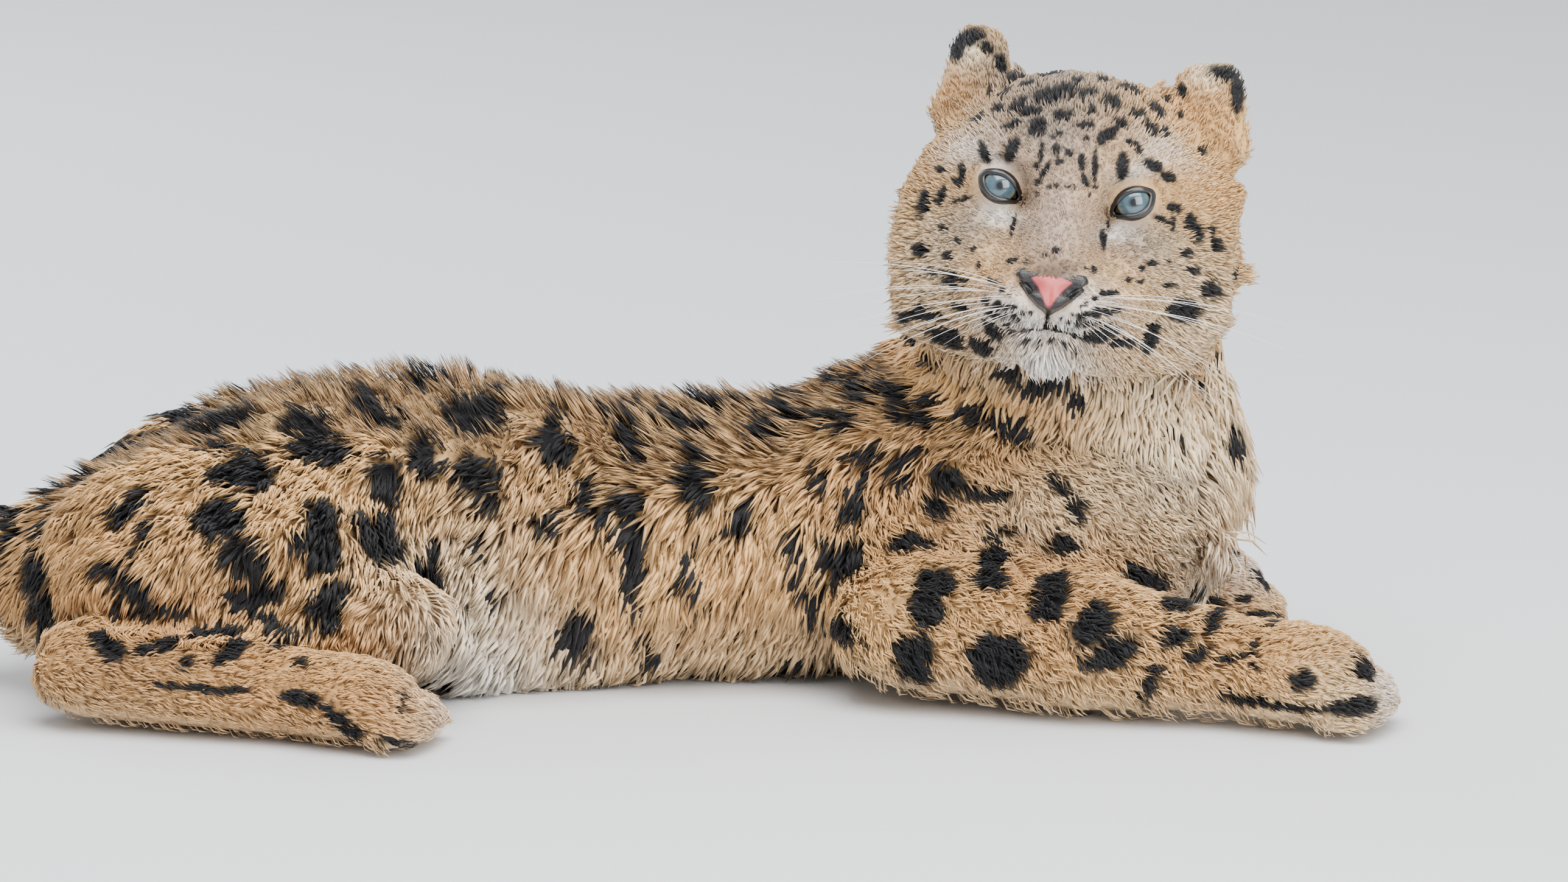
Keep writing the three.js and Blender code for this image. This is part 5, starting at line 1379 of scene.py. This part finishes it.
def coat_piece(name, rows):
    """One joined mesh of the tufts with these numbers."""
    places = CORNER_PLACES[rows]
    count, corners = places.shape[:2]
    places = places.copy()
    places[..., 2] = np.maximum(places[..., 2], 0.6 * MM)
    faces = (SIDES[None] + np.arange(count)[:, None, None] * corners).reshape(-1, 3)
    mesh = bpy.data.meshes.new(name)
    mesh.vertices.add(count * corners)
    mesh.vertices.foreach_set("co", places.astype(np.float32).ravel())
    mesh.loops.add(len(faces) * 3)
    mesh.loops.foreach_set("vertex_index", faces.astype(np.int32).ravel())
    mesh.polygons.add(len(faces))
    mesh.polygons.foreach_set("loop_start", np.arange(0, len(faces) * 3, 3, dtype=np.int32))
    mesh.polygons.foreach_set("use_smooth", np.ones(len(faces), bool))
    mesh.update(calc_edges=True)
    tints = np.concatenate([CORNER_COLOURS[rows], np.ones((count, corners, 1))], axis=2)
    point_values(mesh, "markings", "FLOAT_COLOR", tints)
    turn = np.tile([0, 1, 2] * 2 + [1], (count, 1)) * 1.7
    along = np.tile([0] * 3 + [0.5] * 3 + [1], (count, 1)) * 0.8
    number = np.tile((rows * 7.31 % 91)[:, None], (1, corners))
    point_values(mesh, "strand", "FLOAT_VECTOR", np.stack([turn, along, number], axis=2))
    patch = np.array([(0.5, 0), (0, 0), (1, 0), (0.5, 0.5), (0, 0.5), (1, 0.5), (0.5, 1)])
    patch = patch * PATCH
    spread = (bake[rows][:, None, :] + patch[None]).reshape(-1, 2)
    uv = mesh.uv_layers.new(name="OFBake")
    uv.data.foreach_set("uv", spread[faces.ravel()].astype(np.float32).ravel())
    mesh.materials.append(tuft_material)
    piece = placed(name, mesh)
    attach(piece, "root")
    return len(faces)


GROUPS = {"rump": ("rump",), "middle": ("torso",), "chest": ("chest",), "neck": ("neck",),
          "thighs": ("hindleg", "hindfoot"), "forelegs": ("foreleg", "forepaw"),
          "tail": ("tail",), "head": ("head", "ear")}
total = 0
for name, words in GROUPS.items():
    rows = np.flatnonzero(is_part(label, *words))
    for index, part in enumerate(np.array_split(rows, max(1, -(-len(rows) // MOST)))):
        total += coat_piece(f"coat_{name}_{index + 1}", part)
print("coat", total, "triangles")

# %% [markdown]
# ## Whiskers
# The whiskers are long, white, slightly bent bristles that taper to nothing. Each starts as a
# thin cone with a few rings, which is bent along a curve out and down from its follicle.

# %% Whiskers
bristle_material, tree, shader = new_material("bristle", 0.35, Specular_IOR_Level=0.5)
tints = ramp(tree, [(0.0, colour(120, 112, 104)), (0.2, colour(236, 232, 226)),
                    (1.0, colour(250, 248, 245))])
tree.links.new(attribute(tree, "along").outputs["Fac"], tints.inputs["Fac"])
tree.links.new(tints.outputs["Color"], shader.inputs["Base Color"])


def bristle(bm, start, out, droop, long, thick):
    """Adds one bristle to the bmesh, from a cone that is cut into rings and bent."""
    before = len(bm.verts)
    bmesh.ops.create_cone(bm, cap_ends=True, segments=5, radius1=1, radius2=0.12,
                          depth=1, matrix=Matrix.Translation((0, 0, 0.5)))
    bm.verts.ensure_lookup_table()
    sides = {e for v in bm.verts[before:] for e in v.link_edges
             if abs(e.verts[0].co.z - e.verts[1].co.z) > 0.5}
    bmesh.ops.subdivide_edges(bm, edges=list(sides), cuts=7)
    bm.verts.ensure_lookup_table()
    along = bm.verts.layers.float["along"]
    side = out.cross(droop).normalized()
    lift = side.cross(out).normalized()
    for v in bm.verts[before:]:
        s = v.co.z
        v[along] = s
        centre = start + out * long * s + droop * long * 0.22 * s * s
        v.co = centre + (side * v.co.x + lift * v.co.y) * thick


bm = bmesh.new()
bm.verts.layers.float.new("along")
dice = np.random.default_rng(12)
turn = HEAD.to_3x3()
for way in (-1, 1):
    for row in range(4):
        for column in range(5):
            spread = 15 + 5.2 * column
            place = Vector(from_head([[way * spread, -64 - 4.6 * row + 0.6 * column,
                                       FRONT - 2 - 2.4 * column]])[0])
            hit, normal, _, _ = SKIN_TREE.find_nearest(place)
            out = turn @ Vector((way * (0.9 + 0.05 * column), 0.22 - 0.2 * row
                                 + dice.normal(0, 0.05), 0.36 - 0.1 * column))
            droop = turn @ Vector((way * 0.1, -1, -0.35))
            long = (46 + 17 * column - 4 * row + dice.normal(0, 6)) * MM
            bristle(bm, hit - normal * MM, out.normalized(), droop.normalized(), long,
                    (0.2 + 0.022 * column) * MM)
    for row in range(3):
        place = Vector(from_head([[way * (38 + 4 * row), 22 + 3 * row, FRONT - 50]])[0])
        hit, normal, _, _ = SKIN_TREE.find_nearest(place)
        out = turn @ Vector((way * (0.5 + 0.2 * row), 0.8, 0.35))
        droop = turn @ Vector((way, -0.4, -0.6))
        bristle(bm, hit - normal * MM, out.normalized(), droop.normalized(), 42 * MM,
                0.2 * MM)
whiskers = finished("whiskers", bm, bristle_material)
print("whiskers", len(whiskers.data.polygons), "faces")

# %% [markdown]
# ## Floor and light
# A museum stands such a figure on a plain pale floor under soft light. A large panel above
# and in front gives the even light of an overcast day, and a pale world fills the shadows.

# %% Floor, lights and world
bm = bmesh.new()
bmesh.ops.create_grid(bm, x_segments=1, y_segments=1, size=14)
floor_mesh = bpy.data.meshes.new("floor")
bm.to_mesh(floor_mesh)
bm.free()
floor = placed("floor", floor_mesh)
floor_material, tree, shader = new_material("pale_floor", 0.7)
shader.inputs["Base Color"].default_value = colour(214, 216, 219)
floor_mesh.materials.append(floor_material)
floor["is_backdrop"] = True


def panel(name, place, aim, size, power, tint):
    """A square light panel at a place, turned to what it lights."""
    data = bpy.data.lights.new(name, "AREA")
    data.shape, data.size, data.energy, data.color = "SQUARE", size, power, tint
    light = placed(name, data)
    light.location = place
    light.rotation_euler = (Vector(aim) - Vector(place)).to_track_quat("-Z", "Y").to_euler()
    return light


panel("sky_panel", (0.3, -0.9, 2.6), (0, 0, 0.1), 2.6, 165, (1, 0.985, 0.96))
panel("front_panel", (1.6, -2.6, 1.3), (0.1, 0, 0.15), 1.8, 75, (1, 0.97, 0.93))
panel("back_panel", (-1.4, 2.2, 1.6), (0, 0, 0.2), 1.6, 50, (0.93, 0.96, 1))
world = bpy.data.worlds.new("overcast")
world.use_nodes = True
background = world.node_tree.nodes["Background"]
background.inputs["Color"].default_value = (0.86, 0.9, 0.95, 1)
background.inputs["Strength"].default_value = 0.95
bpy.context.scene.world = world

# %% Sizes and the end
low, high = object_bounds()
